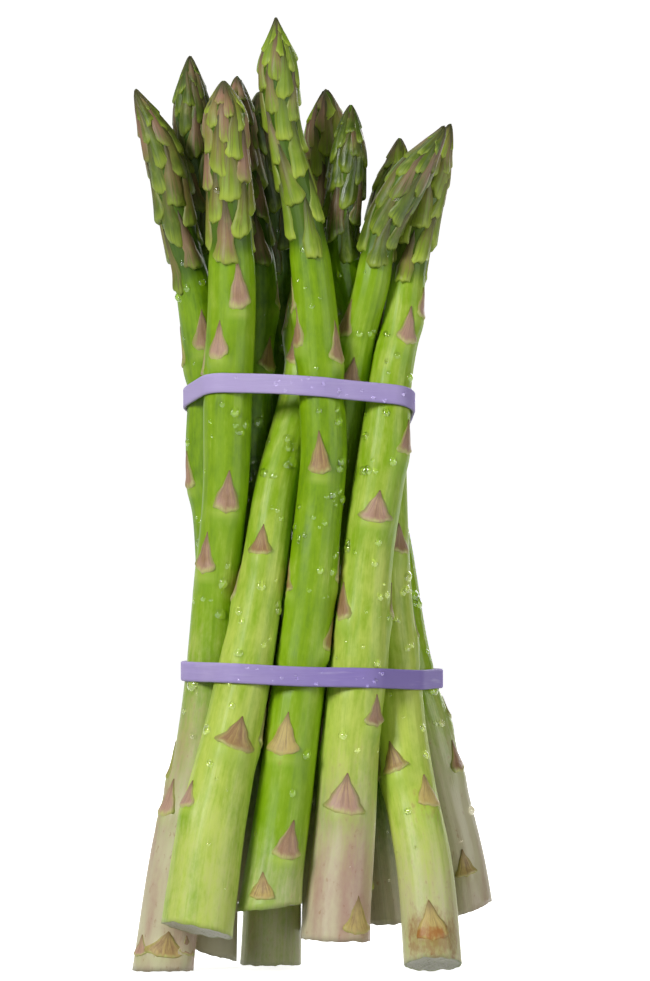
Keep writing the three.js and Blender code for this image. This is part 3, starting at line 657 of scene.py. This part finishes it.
def bandMaterial(band):
    material, desk = newMaterial("rubber " + band["node"].replace("_", " "))
    place = desk.add("ShaderNodeTexCoord", {}, {}, 3)
    mottle = desk.noise(place, 90.0, 3.0, 0.6)
    drawn = desk.noise(desk.stretch(place, (60.0, 60.0, 900.0)), 1.0, 3.0, 0.6)
    side = desk.part(place, 0)
    # painted shade: the purple deepens across the band towards its right, the side away from the key light
    deep = desk.spread(band["deep"] + side * 14.0 + (mottle - 0.5) * 0.7, 0.0, 1.1)
    colour = desk.blend(deep, bandFinish["pale"], bandFinish["deep"])
    colour = desk.blend(desk.spread(drawn, 0.56, 0.75) * 0.35, colour, bandFinish["worn"])
    finishMaterial(desk, {"Base Color": colour, "Roughness": bandFinish["roughness"] + (mottle - 0.5) * 0.2},
                   drawn * 0.7 + mottle, 0.45, 0.0004)
    return material


def waterMaterial():
    material, desk = newMaterial("water")
    finishMaterial(desk, {
        "Base Color": (1, 1, 1, 1), "Roughness": 0.04, "IOR": 1.36, "Transmission Weight": 1.0,
        "Specular IOR Level": 1.0, "Coat Weight": 0.6, "Coat IOR": 1.6, "Coat Roughness": 0.06,
    })
    return material


stemSkin = stemMaterial()
scaleSkin = scaleMaterial()
bractSkin = bractMaterial()
cutSkin = cutMaterial()
waterSkin = waterMaterial()
print("materials made")


def setValues(mesh, name, values, kind="FLOAT"):
    attribute = mesh.attributes.get(name) or mesh.attributes.new(name, kind, "POINT")
    key = "vector" if kind == "FLOAT_VECTOR" else "value"
    attribute.data.foreach_set(key, np.ascontiguousarray(values, np.float32).ravel())


def getValues(mesh, name, width=1):
    values = np.zeros(len(mesh.vertices) * width, np.float32)
    mesh.attributes[name].data.foreach_get("vector" if width == 3 else "value", values)
    return values.reshape(-1, width) if width > 1 else values


def addObject(name, points, faces, smooth=True):
    mesh = bpy.data.meshes.new(name)
    mesh.from_pydata(points.tolist(), [], faces)
    mesh.polygons.foreach_set("use_smooth", [smooth] * len(mesh.polygons))
    piece = bpy.data.objects.new(name, mesh)
    bpy.context.scene.collection.objects.link(piece)
    return piece


def gridFaces(rows, columns, closed=False):
    faces = []
    for row in range(rows - 1):
        for column in range(columns if closed else columns - 1):
            right = (column + 1) % columns
            faces.append((row * columns + column, row * columns + right,
                          (row + 1) * columns + right, (row + 1) * columns + column))
    return faces


# A leaf seen from outside: x to its right, z up to its tip, and its thickness towards -y.
# Rows run from the lower lip to the tip: share of the length, share of the width, how far out.
headScale = {
    "rows": [
        (0.0, 0.84, 0.5), (0.02, 0.94, 0.86), (0.06, 1.0, 1.04), (0.14, 0.96, 1.02), (0.28, 0.82, 0.94),
        (0.44, 0.65, 0.84), (0.61, 0.48, 0.74), (0.78, 0.31, 0.64), (0.91, 0.16, 0.54), (1.0, 0.02, 0.44),
    ],
    "across": [-1, -0.72, -0.38, 0, 0.38, 0.72, 1],
    "droop": 0.03, "edge": 0.5, "root": -0.7, "crease": 0.3, "skew": 3.2, "flare": 0.35, "ragged": 0.17,
}
stemBract = {
    "rows": [
        (0.0, 0.8, 0.3), (0.03, 0.92, 0.72), (0.09, 1.0, 0.9), (0.17, 0.95, 0.7), (0.28, 0.8, 0.48),
        (0.42, 0.61, 0.36), (0.58, 0.42, 0.3), (0.76, 0.23, 0.26), (0.9, 0.1, 0.22), (1.0, 0.02, 0.18),
    ],
    "across": [-1, -0.72, -0.38, 0, 0.38, 0.72, 1],
    "droop": 0.1, "edge": 0.75, "root": -0.7, "crease": 0.05, "skew": 1.1, "flare": 0.25, "ragged": 0.1,
}
weldDistance = 0.00001


def makeLeaf(name, form):
    # a closed leaf of unit size: a thin shell whose corners are welded
    across = [form["across"][0], *form["across"], form["across"][-1]]
    rows = [form["rows"][0], *form["rows"], form["rows"][-1]]
    points, leaf = [], []
    for r, (up, wide, out) in enumerate(rows):
        for c, u in enumerate(across):
            inside = r in (0, len(rows) - 1) or c in (0, len(across) - 1)
            z = up + form["droop"] * abs(u) ** 1.3 * (1 - up)
            fall = 1 - (1 - form["edge"]) * u * u + form["crease"] * max(0, 1 - abs(u) / 0.38) * (1 - up)
            points.append((u * wide / 2, -(form["root"] if inside else out * fall), z))
            leaf.append((u, up, 0))
    columns = len(across)
    faces = gridFaces(len(rows), columns)
    last = (len(rows) - 1) * columns
    edge = list(range(columns)) + [r * columns + columns - 1 for r in range(1, len(rows))]
    edge += [last + c for c in range(columns - 2, -1, -1)]
    edge += [r * columns for r in range(len(rows) - 2, 0, -1)]
    faces.append(tuple(reversed(edge)))
    piece = addObject(name, np.array(points), faces)
    setValues(piece.data, "leaf", leaf, "FLOAT_VECTOR")
    welded = bmesh.new()
    welded.from_mesh(piece.data)
    bmesh.ops.remove_doubles(welded, verts=welded.verts, dist=weldDistance)
    welded.to_mesh(piece.data)
    welded.free()
    return piece


def newTree(name, inputs, output):
    # a node tree with its named inputs, as (name, kind), and one named mesh that it gives back
    tree = bpy.data.node_groups.new(name, "GeometryNodeTree")
    for label, kind in inputs:
        tree.interface.new_socket(label, in_out="INPUT", socket_type="NodeSocket" + kind)
    tree.interface.new_socket(output, in_out="OUTPUT", socket_type="NodeSocketGeometry")
    desk = Desk(tree)
    given = tree.nodes.new("NodeGroupInput")
    return desk, [Link(desk, given.outputs[k]) for k in range(len(inputs))]


def carried(desk, name):
    # a vector that every point of the mesh carries
    return desk.add("GeometryNodeInputNamedAttribute", {"data_type": "FLOAT_VECTOR"}, {"Name": name})


def giveBack(desk, shape, skin):
    # puts the material on and hands the mesh to the tree's output
    skinned = desk.add("GeometryNodeSetMaterial", {}, {"Geometry": shape, "Material": skin})
    desk.add("NodeGroupOutput", {}, {0: skinned})
    return desk.tree


def leafTree():
    # places one leaf on every point, sized by the point, with a random sideways lean
    desk, (points, leaf, lean, seed, skin) = newTree("leaves on a spear", [
        ("Points", "Geometry"), ("Leaf", "Object"), ("Lean", "Float"), ("Seed", "Int"), ("Skin", "Material"),
    ], "Leaves")
    shape = desk.add("GeometryNodeObjectInfo", {}, {"Object": leaf}, 4)
    size = carried(desk, "size")
    tilt = desk.add("FunctionNodeRandomValue", {"data_type": "FLOAT"}, {2: lean * -1.0, 3: lean, 8: seed}, 1)
    turn = desk.add("FunctionNodeEulerToRotation", {}, {0: desk.add("ShaderNodeCombineXYZ", {}, {1: tilt})})
    placed = desk.add("GeometryNodeInstanceOnPoints", {}, {
        "Points": points, "Instance": shape, "Rotation": turn, "Scale": size})
    return giveBack(desk, desk.add("GeometryNodeRealizeInstances", {}, {"Geometry": placed}), skin)


def runTree(piece, tree, values):
    # runs a node tree on a piece and gives the result as a plain mesh
    modifier = piece.modifiers.new("grow", "NODES")
    modifier.node_group = tree
    for item in tree.interface.items_tree:
        if item.item_type == "SOCKET" and item.in_out == "INPUT" and item.name in values:
            modifier[item.identifier] = values[item.name]
    bpy.context.view_layer.update()
    ready = piece.evaluated_get(bpy.context.evaluated_depsgraph_get())
    mesh = bpy.data.meshes.new_from_object(ready)
    piece.modifiers.remove(modifier)
    old = piece.data
    piece.data = mesh
    bpy.data.meshes.remove(old)
    return piece


leafForms = {"scale": headScale, "bract": stemBract}
leaves = {"scale": makeLeaf("head scale", headScale), "bract": makeLeaf("stem bract", stemBract)}
growLeaves = leafTree()
goldenTurn = 137.5


def headLeaves(spear, draw):
    # the spiral of scales from the neck to the tip
    found = []
    left = spear["head"][0] * headForm["start"]
    k = 0
    while left > headForm["stop"]:
        z = tipOf(spear) - left
        outline = float(outlineRadius(spear, z))
        low = float(smoothStep(left, *headForm["full"]))
        longest = (spear["scaleLength"] + headForm["longer"]) * draw.uniform(0.85, 1.12)
        length = min(longest, left * draw.uniform(0.95, 1.0))
        width = ((0.5 + 0.36 * low) * outline + 0.75 + 0.8 * low) * draw.uniform(0.86, 1.12)
        found.append({
            "z": z, "angle": math.radians(spear["start"]) + spear["turn"] * math.radians(goldenTurn) * k,
            "size": (width, float(proudOf(outline)) * (0.62 + 0.38 * low) * draw.uniform(0.85, 1.1), length),
            "own": draw.random(),
        })
        left -= max(headForm["step"] * left, headForm["leastStep"])
        k += 1
    return found


farBract = {"step": 33, "start": 12, "end": 8, "length": 10, "width": 6.8, "side": 100}


def stemLeaves(spear, draw):
    # the bracts that the front shows, and a spiral of others round the far side
    found = [
        {"z": z, "angle": math.radians(angle), "size": (width, 1.0, length), "own": own}
        for z, angle, length, width, own in spear["bracts"]
    ]
    angle, z = spear["start"], spear["cut"][0] + farBract["start"]
    while z < neckOf(spear) - farBract["end"]:
        angle += goldenTurn * spear["turn"]
        turned = (angle + 180) % 360 - 180
        away = math.copysign(max(abs(turned), farBract["side"]), turned)
        size = (farBract["width"] * draw.uniform(0.9, 1.1), 1.0, farBract["length"] * draw.uniform(0.9, 1.1))
        found.append({"z": z, "angle": math.radians(away), "size": size, "own": draw.uniform(0.05, 0.7)})
        z += farBract["step"]
    return found


clearing = {
    "gap": 0.3, "drawIn": 0.04, "steps": 40, "footMargin": 4, "pressed": 0.12, "bandMargin": 0.8,
    "inner": -1.5,
}


def keepClear(spear, points):
    # draws crowded points in towards their own stem, clear of the neighbours and under the bands
    z = points[:, 2]
    centre, along, _, _ = frameAt(spear, z)
    ownRadius = outlineRadius(spear, z) / along[:, 2]
    rivals = []
    for other in spears:
        if other is spear:
            continue
        far, farAlong, _, _ = frameAt(other, z)
        active = (z <= tipOf(other)) & (z >= other["cut"][0] - clearing["footMargin"])
        rivals.append((far[:, :2], outlineRadius(other, z) / farAlong[:, 2], active))
    reach = bandForm["height"] / 2 + clearing["bandMargin"]
    pressed = np.zeros(len(points), bool)
    for band in bands:
        pressed |= np.abs(z - bandLevel(band, points[:, 0], points[:, 1])) < reach
    for _ in range(clearing["steps"]):
        own = np.linalg.norm(points[:, :2] - centre[:, :2], axis=1) - ownRadius
        crowded = pressed & (own > clearing["pressed"])
        for far, radius, active in rivals:
            gap = np.linalg.norm(points[:, :2] - far, axis=1) - radius
            crowded |= active & (gap < own + clearing["gap"])
        crowded &= own > clearing["inner"]
        if not crowded.any():
            break
        points[crowded, :2] += (centre[crowded, :2] - points[crowded, :2]) * clearing["drawIn"]
    return points


def growOn(spear, found, kind, lean, seed, skin, bright, draw):
    # a set of leaves on one spear: made flat by the tree, then wrapped round the stem and bent with it
    name = spear["node"] + " " + kind
    start = addObject(name, np.array([(0, 0, leaf["z"]) for leaf in found]), [])
    setValues(start.data, "size", [leaf["size"] for leaf in found], "FLOAT_VECTOR")
    setValues(start.data, "turn", [leaf["angle"] for leaf in found])
    setValues(start.data, "own", [leaf["own"] for leaf in found])
    setValues(start.data, "luck", [draw.random() for _ in found])
    values = {"Leaf": leaves[kind], "Lean": math.radians(lean), "Seed": seed, "Skin": skin}
    piece = runTree(start, growLeaves, values)
    mesh = piece.data
    flat = np.zeros(len(mesh.vertices) * 3, np.float32)
    mesh.vertices.foreach_get("co", flat)
    flat = flat.reshape(-1, 3).astype(float)
    u, t, _ = getValues(mesh, "leaf", 3).T.astype(float)
    luck = getValues(mesh, "luck").astype(float)
    form = leafForms[kind]
    torn = np.sin(u * 7 + luck * 90) + 0.6 * np.sin(u * 15 + luck * 40)
    z = flat[:, 2] + (1 - t) ** 3 * ((luck * 57.3 % 1 - 0.5) * form["skew"] * u + torn * form["ragged"] * 2)
    core = coreRadius(spear, np.minimum(z, tipOf(spear)))
    core = core + stemForm["plump"] * stemForm["leafLift"] * (1 - inHead(spear, z))
    out = -flat[:, 1] * (1 + (luck * 91.7 % 1) * form["flare"] * (1 - t) ** 4)
    side = flat[:, 0] * (1 + form["ragged"] * np.sin(t * 13 + luck * 70) * np.abs(u))
    side += (luck * 23.1 % 1 - 0.5) * 0.9 * t * t
    angle = getValues(mesh, "turn") + side / np.maximum(core + np.maximum(out, 0), 0.6)
    radius = np.maximum(core + out, 0.02)
    points = keepClear(spear, bend(spear, angle, radius, z))
    mesh.vertices.foreach_set("co", ((points + shift) * metre).astype(np.float32).ravel())
    setValues(mesh, "skin", np.stack([np.sin(angle) * radius, -np.cos(angle) * radius, z], 1), "FLOAT_VECTOR")
    amounts = {"bright": bright, "blush": spear["blush"], "wet": spear["wet"]}
    for key, value in amounts.items():
        setValues(mesh, key, np.full(len(mesh.vertices), value))
    mesh.update()
    return piece


stemForm = {
    "sides": 72, "ringStep": 1.6, "tipGap": 4, "tipRings": [3.2, 2.2, 1.3, 0.6, 0.2], "footBlend": 14,
    "ridges": 17, "ridge": 0.035, "fineRidges": 29, "fineRidge": 0.02, "wander": 0.016, "node": 0.75,
    "capRings": [0.985, 0.93, 0.8, 0.6, 0.4, 0.2], "cupped": 0.25, "coreLift": 0.28, "torn": 0.75,
    "plump": 0.13, "leafLift": 1.3, "gapShade": 0.75,
}


def nodeSwell(spear, found, angle, z):
    # the stem thickens under each bract, is lighter at its rim, and is stained round dry ones
    swell = np.zeros_like(z)
    halo = np.zeros_like(z)
    rust = np.zeros_like(z)
    for leaf in found:
        width, _, length = leaf["size"]
        radius = float(coreRadius(spear, leaf["z"]))
        side = (angle - leaf["angle"] + math.pi) % (2 * math.pi) - math.pi
        u = side * radius / (width * 0.62)
        up = z - leaf["z"]
        across = np.clip(1 - u * u, 0, 1)
        swell += across * np.exp(-np.where(up < 0, up / 3.6, up / 2.6) ** 2)
        halo += np.clip(1.15 - np.abs(u), 0, 1) * np.exp(-((up + 0.3) / 1.1) ** 2)
        dry = max(0, leaf["own"] - 0.8) * 5
        off = (side * radius / (width * 0.95)) ** 2 + ((up - 1) / (length * 0.9)) ** 2
        rust += dry * np.exp(-off)
    return np.minimum(swell, 1), np.clip(halo, 0, 1), np.clip(rust, 0, 1)


def buildStem(spear, found, seed):
    # the stem from its cut foot to the point of its core
    draw = random.Random(seed)
    phase = [draw.uniform(0, 6.28) for _ in range(6)]
    foot, slopeX, slopeY = spear["cut"]
    tip = tipOf(spear)
    levels = np.arange(foot, tip - stemForm["tipGap"], stemForm["ringStep"])
    levels = np.concatenate([levels, tip - np.array(stemForm["tipRings"])])
    sides = stemForm["sides"]
    angles = np.arange(sides) / sides * 2 * math.pi
    z, angle = np.meshgrid(levels, angles, indexing="ij")
    core = coreRadius(spear, z) + stemForm["coreLift"] * inHead(spear, z) * proudOf(outlineRadius(spear, z))
    swell, halo, rust = nodeSwell(spear, found, angle, z)
    ease = np.clip(core / 4, 0, 1)
    coarse = stemForm["ridges"] * angle + phase[0] + 0.8 * np.sin(z / 31 + phase[1])
    ridge = stemForm["ridge"] * np.cos(coarse)
    fine = stemForm["fineRidges"] * angle + phase[2] + 1.5 * np.sin(z / 23 + phase[3])
    ridge += stemForm["fineRidge"] * np.cos(fine)
    wander = stemForm["wander"] * np.cos(2 * angle + z / 40 + phase[4]) * core
    wander += 0.4 * stemForm["wander"] * np.sin(z / 9 + phase[5]) * core
    raised = stemForm["plump"] + stemForm["node"] * swell
    radius = core + (ridge + wander) * ease + raised * (1 - inHead(spear, z))
    points = bend(spear, angle, radius, z)
    centre, along, _, _ = frameAt(spear, np.array(foot, float))
    fade = np.clip(1 - (z - foot) / stemForm["footBlend"], 0, 1) ** 1.5
    rise = (points[..., 0] - centre[0]) * slopeX + (points[..., 1] - centre[1]) * slopeY
    flatZ = bend(spear, angle, radius * 0, z)[..., 2]
    slide = (flatZ + rise - points[..., 2]) / (along[2] - along[0] * slopeX - along[1] * slopeY)
    torn = 0.3 * np.sin(3 * angles + phase[0]) + 0.2 * np.sin(7 * angles + phase[1])
    torn += 0.12 * np.sin(15 * angles)
    rim = points[0] + along * (slide[0] + stemForm["torn"] * np.abs(torn))[:, None]
    points = points + along * (slide * fade)[..., None]
    points[0] = rim
    points = keepClear(spear, points.reshape(-1, 3).copy()).reshape(points.shape)
    points[0] = rim
    skin = np.stack([np.sin(angle) * radius, -np.cos(angle) * radius, z], -1)

    # the cut face: rings that shrink to the middle, slightly cupped
    middle = rim.mean(0)
    rows = [points.reshape(-1, 3)]
    skins = [skin.reshape(-1, 3)]
    outs = [np.ones(points.shape[0] * sides)]
    for share in stemForm["capRings"]:
        cup = stemForm["cupped"] * (1 - share * share) * (1 + 0.4 * np.sin(5 * angles + 9 * share + phase[1]))
        rows.append(middle + (rim - middle) * share + along * cup[:, None])
        skins.append(skin[0] * [share, share, 1])
        outs.append(np.full(sides, share))
    rows.append((middle + along * stemForm["cupped"])[None])
    skins.append(np.array([[0, 0, foot]]))
    outs.append(np.zeros(1))
    top = bend(spear, np.zeros(1), np.zeros(1), np.array([tip]))
    rows.append(top)
    skins.append(np.array([[0, 0, tip]]))
    outs.append(np.ones(1))
    ringCount = len(levels)
    faces = gridFaces(ringCount, sides, True)
    skinFaces = len(faces)
    capStart = ringCount * sides
    previous = 0
    for k in range(len(stemForm["capRings"])):
        start = capStart + k * sides
        for i in range(sides):
            j = (i + 1) % sides
            faces.append((previous + j, previous + i, start + i, start + j))
        previous = start
    hub = capStart + len(stemForm["capRings"]) * sides
    for i in range(sides):
        faces.append((previous + (i + 1) % sides, previous + i, hub))
    capEnd = len(faces)
    last = (ringCount - 1) * sides
    for i in range(sides):
        faces.append((last + i, last + (i + 1) % sides, hub + 1))
    allPoints = np.concatenate(rows)
    piece = addObject(spear["node"].replace("spear_", "") + "_spear", (allPoints + shift) * metre, faces)
    mesh = piece.data
    mesh.materials.append(stemSkin)
    mesh.materials.append(cutSkin)
    kinds = np.zeros(len(faces), np.int32)
    kinds[skinFaces:capEnd] = 1
    mesh.polygons.foreach_set("material_index", kinds)
    extra = len(allPoints) - points.shape[0] * sides
    skins = np.concatenate(skins)
    height = skins[:, 2] - foot
    pale = spear["pale"] * (1 - smoothStep(height, spear["paleTop"] * 0.15, spear["paleTop"] * 1.5))
    tall = smoothStep(skins[:, 2], 20, 175)
    head = np.concatenate([inHead(spear, z).ravel(), np.zeros(extra)])
    setValues(mesh, "skin", skins, "FLOAT_VECTOR")
    setValues(mesh, "out", np.concatenate(outs))
    setValues(mesh, "pale", pale)
    setValues(mesh, "rosy", np.full(len(skins), spear["rosy"]))
    setValues(mesh, "bright", spear["bright"] * (1.05 - 0.35 * tall))
    setValues(mesh, "wet", np.full(len(skins), spear["wet"]))
    # painted shade between the scales, its strength rising through the head
    setValues(mesh, "gapShade", head * stemForm["gapShade"])
    for key, values in {"halo": halo, "swell": swell * (1 - inHead(spear, z)), "rust": rust}.items():
        setValues(mesh, key, np.concatenate([values.ravel(), np.zeros(extra)]))
    return piece


def joinPieces(first, others):
    # one mesh of a stem and its leaves
    chosen = [first, *others]
    with bpy.context.temp_override(
            active_object=first, object=first, selected_objects=chosen, selected_editable_objects=chosen):
        bpy.ops.object.join()
    return first


def buildSpear(spear, number):
    draw = random.Random(100 + number)
    bracts = stemLeaves(spear, draw)
    scales = headLeaves(spear, draw)
    stem = buildStem(spear, bracts, 40 + number)
    others = [
        growOn(spear, scales, "scale", 5, 10 + number, scaleSkin, spear["headBright"], draw),
        growOn(spear, bracts, "bract", 3, 30 + number, bractSkin, spear["bright"], draw),
    ]
    return joinPieces(stem, others)


pieces = []
for number, spear in enumerate(spears):
    piece = buildSpear(spear, number)
    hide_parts(spear["node"])
    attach(piece, "root")
    pieces.append(piece)
    print("spear", piece.name, len(piece.data.polygons), "faces")
for leaf in leaves.values():
    bpy.data.objects.remove(leaf)


def stripTree():
    # draws a rounded strip along a closed line
    desk, (line, thick, height, edge, skin) = newTree("rubber strip", [
        ("Line", "Geometry"), ("Thickness", "Float"), ("Height", "Float"), ("Edge", "Float"),
        ("Skin", "Material"),
    ], "Strip")
    path = desk.add("GeometryNodeMeshToCurve", {}, {0: line})
    path = desk.add("GeometryNodeSetCurveNormal", {"mode": "Z_UP"}, {0: path})
    section = desk.add("GeometryNodeCurvePrimitiveQuadrilateral", {}, {"Width": thick, "Height": height})
    section = desk.add("GeometryNodeFilletCurve", {}, {"Curve": section, "Radius": edge})
    section = desk.add("GeometryNodeResampleCurve", {}, {"Curve": section, "Count": bandForm["sides"]})
    strip = desk.add("GeometryNodeCurveToMesh", {}, {"Curve": path, "Profile Curve": section})
    return giveBack(desk, desk.add("GeometryNodeSetShadeSmooth", {}, {0: strip}), skin)


def buildBand(band, tree):
    # one ring of rubber: the strip drawn round the tightest loop
    middle = bandForm["looksClearance"] + bandForm["thickness"] / 2
    loop = bandOutline(band, middle, bandForm["looksDirections"])
    step = np.linalg.norm(np.roll(loop, -1, 0) - loop, axis=1)
    along = np.concatenate([[0], np.cumsum(step)])
    closed = np.concatenate([loop, loop[:1]])
    count = bandForm["marks"]
    marks = np.arange(count) / count * along[-1]
    x = np.interp(marks, along, closed[:, 0])
    y = np.interp(marks, along, closed[:, 1])
    turns = marks / along[-1] * 2 * math.pi
    waver = bandForm["waver"] * np.sin(turns * bandForm["wavers"] + band["seed"])
    points = np.stack([x, y, bandLevel(band, x, y) + waver], 1)
    start = addObject(band["name"], (points + shift) * metre, [])
    mesh = start.data
    mesh.edges.add(count)
    mesh.edges.foreach_set("vertices", [v for i in range(count) for v in (i, (i + 1) % count)])
    mesh.update()
    return runTree(start, tree, {
        "Thickness": bandForm["thickness"] * metre, "Height": bandForm["height"] * metre,
        "Edge": bandForm["edge"] * metre, "Skin": bandMaterial(band),
    })


drawStrip = stripTree()
for band in bands:
    piece = buildBand(band, drawStrip)
    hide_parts(band["node"])
    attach(piece, "root")
    pieces.append(piece)
    print("band", piece.name, len(piece.data.polygons), "faces")

# Water drops: how many, their radii, the room they need, and how far round the front they reach in degrees.
# WetMiddle and wetSpread say where on the stems most of them lie, and leafRoom keeps them off the bracts.
water = {
    "count": 480, "tries": 20000, "small": 0.45, "large": 1.5, "flat": 0.62, "clear": 1.1, "seed": 17,
    "side": 72, "footGap": 8, "headReach": 18, "wetMiddle": 112, "wetSpread": 42, "leafRoom": (0.7, 50),
    "bandDrops": 36, "bandDepth": 12, "bandSmall": 0.3, "bandLarge": 0.62, "segments": 10, "rings": 6,
}


def dropTree():
    # sets a small dome on every point, flat side to the surface
    desk, (points, skin) = newTree("water drops", [("Points", "Geometry"), ("Skin", "Material")], "Drops")
    ball = desk.add("GeometryNodeMeshUVSphere", {}, {
        "Segments": water["segments"], "Rings": water["rings"], "Radius": metre})
    ball = desk.add("GeometryNodeSetShadeSmooth", {}, {0: ball})
    size = carried(desk, "size")
    turn = desk.add("FunctionNodeAlignRotationToVector", {"axis": "Z"}, {"Vector": carried(desk, "facing")})
    placed = desk.add("GeometryNodeInstanceOnPoints", {}, {
        "Points": points, "Instance": ball, "Rotation": turn, "Scale": size})
    return giveBack(desk, desk.add("GeometryNodeRealizeInstances", {}, {"Geometry": placed}), skin)


def underLeaf(spear, z, angle):
    # whether a spot lies on or beside a bract
    upward, sideways = water["leafRoom"]
    return any(
        abs(z - base - length / 2) < length * upward and abs((angle - side + 180) % 360 - 180) < sideways
        for base, side, length, _, _ in spear["bracts"])


def buildDrops():
    # drops on the spears, most of them half way up, and smaller ones along the fronts of the bands
    draw = random.Random(water["seed"])
    spots, sizes, facings = [], [], []
    tries = 0
    while len(spots) < water["count"] and tries < water["tries"]:
        tries += 1
        spear = draw.choice(spears)
        z = draw.uniform(spear["cut"][0] + water["footGap"], neckOf(spear) + water["headReach"])
        middle = math.exp(-((z - water["wetMiddle"]) / water["wetSpread"]) ** 2)
        if draw.random() > 0.25 + 0.75 * middle + 0.4 * spear["wet"]:
            continue
        angle = np.array([math.radians(draw.uniform(-water["side"], water["side"]))])
        level = np.array([z])
        radius = coreRadius(spear, level)
        spot = bend(spear, angle, radius, level)[0]
        facing = spot - centreAt(spear, z)
        facing /= np.linalg.norm(facing)
        ahead = spot + facing * water["clear"]
        taken = any(
            other is not spear and z <= tipOf(other) and z >= other["cut"][0] - 3
            and np.hypot(*(ahead - centreAt(other, z))[:2]) < float(outlineRadius(other, z)) + water["clear"]
            for other in spears)
        clear = bandForm["height"] / 2 + 1
        taken |= any(abs(z - bandLevel(band, spot[0], spot[1])) < clear for band in bands)
        if taken or underLeaf(spear, z, math.degrees(angle[0])):
            continue
        width = water["small"] + (water["large"] - water["small"]) * draw.random() ** 1.6
        spots.append(spot + shift)
        across, up = draw.uniform(0.85, 1.15), draw.uniform(0.85, 1.2)
        sizes.append((width * across, width * up, width * water["flat"]))
        facings.append(facing)
    reach = bandForm["looksClearance"] + bandForm["thickness"]
    loops = [bandOutline(band, reach, bandForm["looksDirections"]) for band in bands]
    for number in range(water["bandDrops"]):
        band = bands[number % 2]
        outer = loops[number % 2]
        front = np.flatnonzero(outer[:, 1] < outer[:, 1].min() + water["bandDepth"])
        front = front[np.argsort(outer[front, 0])]
        x = draw.uniform(outer[front[0], 0], outer[front[-1], 0])
        k = front[np.searchsorted(outer[front, 0], x)]
        before, after = outer[k - 1], outer[(k + 1) % len(outer)]
        angle = math.atan2(before[0] - after[0], after[1] - before[1])
        share = (x - outer[k, 0]) / (after[0] - before[0] + 1e-6)
        y = outer[k, 1] + share * (after[1] - before[1])
        z = bandLevel(band, x, y) + draw.uniform(-0.4, 0.4) * bandForm["height"]
        width = draw.uniform(water["bandSmall"], water["bandLarge"])
        spots.append(np.array([x, y, z]) + shift)
        sizes.append((width, width * draw.uniform(0.9, 1.3), width * 0.5))
        facings.append(np.array([math.cos(angle), math.sin(angle), 0.0]))
    start = addObject("water_drops", np.array(spots) * metre, [])
    setValues(start.data, "size", sizes, "FLOAT_VECTOR")
    setValues(start.data, "facing", facings, "FLOAT_VECTOR")
    return runTree(start, dropTree(), {"Skin": waterSkin})


drops = buildDrops()
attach(drops, "root")
pieces.append(drops)
print("water drops", len(drops.data.polygons), "faces")

# Light, floor and camera. The lights aim at the middle of the bundle.
studio = {
    "middle": 117, "world": 0.14, "photoHeight": 239.4, "eyeX": 3.05, "distance": 1900, "sensor": 24,
    "key": {"at": (-1000, -1250, 800), "size": 0.5, "power": 21},
    "fill": {"at": (1350, -900, 200), "size": 1.0, "power": 12},
    "top": {"at": (-300, 200, 1300), "size": 0.8, "power": 5},
    "back": {"at": (500, 1500, 700), "size": 1.0, "power": 11},
}
floorForm = {"front": -2600, "bend": 2300, "radius": 700, "height": 3200, "half": 3000}


def addLight(name, light):
    data = bpy.data.lights.new(name, "AREA")
    data.size = light["size"]
    data.energy = light["power"]
    lamp = bpy.data.objects.new(name, data)
    lamp.location = Vector(light["at"]) * metre
    aim = Vector((0, 0, studio["middle"])) * metre - lamp.location
    lamp.rotation_euler = aim.to_track_quat("-Z", "Y").to_euler()
    bpy.context.scene.collection.objects.link(lamp)


def buildFloor():
    # a pale floor that curves up into the backdrop
    far, radius, half = floorForm["bend"], floorForm["radius"], floorForm["half"]
    turns = np.linspace(0.1, math.pi / 2, 14)
    profile = [(floorForm["front"], 0), (far, 0)]
    profile += [(far + radius * math.sin(a), radius - radius * math.cos(a)) for a in turns]
    profile.append((far + radius, floorForm["height"]))
    points = [(x, y, z) for y, z in profile for x in (-half, half)]
    faces = [(2 * k, 2 * k + 1, 2 * k + 3, 2 * k + 2) for k in range(len(profile) - 1)]
    floor = addObject("floor", np.array(points) * metre, faces)
    material, desk = newMaterial("pale floor")
    place = desk.add("ShaderNodeTexCoord", {}, {}, 3)
    cloud = desk.noise(place, 2.0, 2.0, 0.5)
    finishMaterial(desk, {
        "Base Color": desk.blend(cloud, tone(252, 252, 252), tone(247, 247, 247)), "Roughness": 0.9,
        "Emission Color": (1, 1, 1, 1), "Emission Strength": 0.8,
    })
    floor.data.materials.append(material)
    floor.visible_diffuse = False


def buildCamera():
    data = bpy.data.cameras.new("camera")
    data.sensor_fit = "VERTICAL"
    data.sensor_height = studio["sensor"]
    data.lens = studio["sensor"] * studio["distance"] / studio["photoHeight"]
    data.clip_end = 20
    camera = bpy.data.objects.new("camera", data)
    camera.location = Vector((studio["eyeX"] + shift[0], -studio["distance"], studio["middle"])) * metre
    camera.rotation_euler = (math.pi / 2, 0, 0)
    bpy.context.scene.collection.objects.link(camera)
    bpy.context.scene.camera = camera


buildFloor()
buildCamera()
for name in ("key", "fill", "top", "back"):
    addLight(name + " light", studio[name])
world = bpy.data.worlds.new("studio")
world.use_nodes = True
world.node_tree.nodes["Background"].inputs["Color"].default_value = (1, 1, 1, 1)
world.node_tree.nodes["Background"].inputs["Strength"].default_value = studio["world"]
bpy.context.scene.world = world
bpy.context.scene.view_settings.view_transform = "Standard"
print("studio ready")
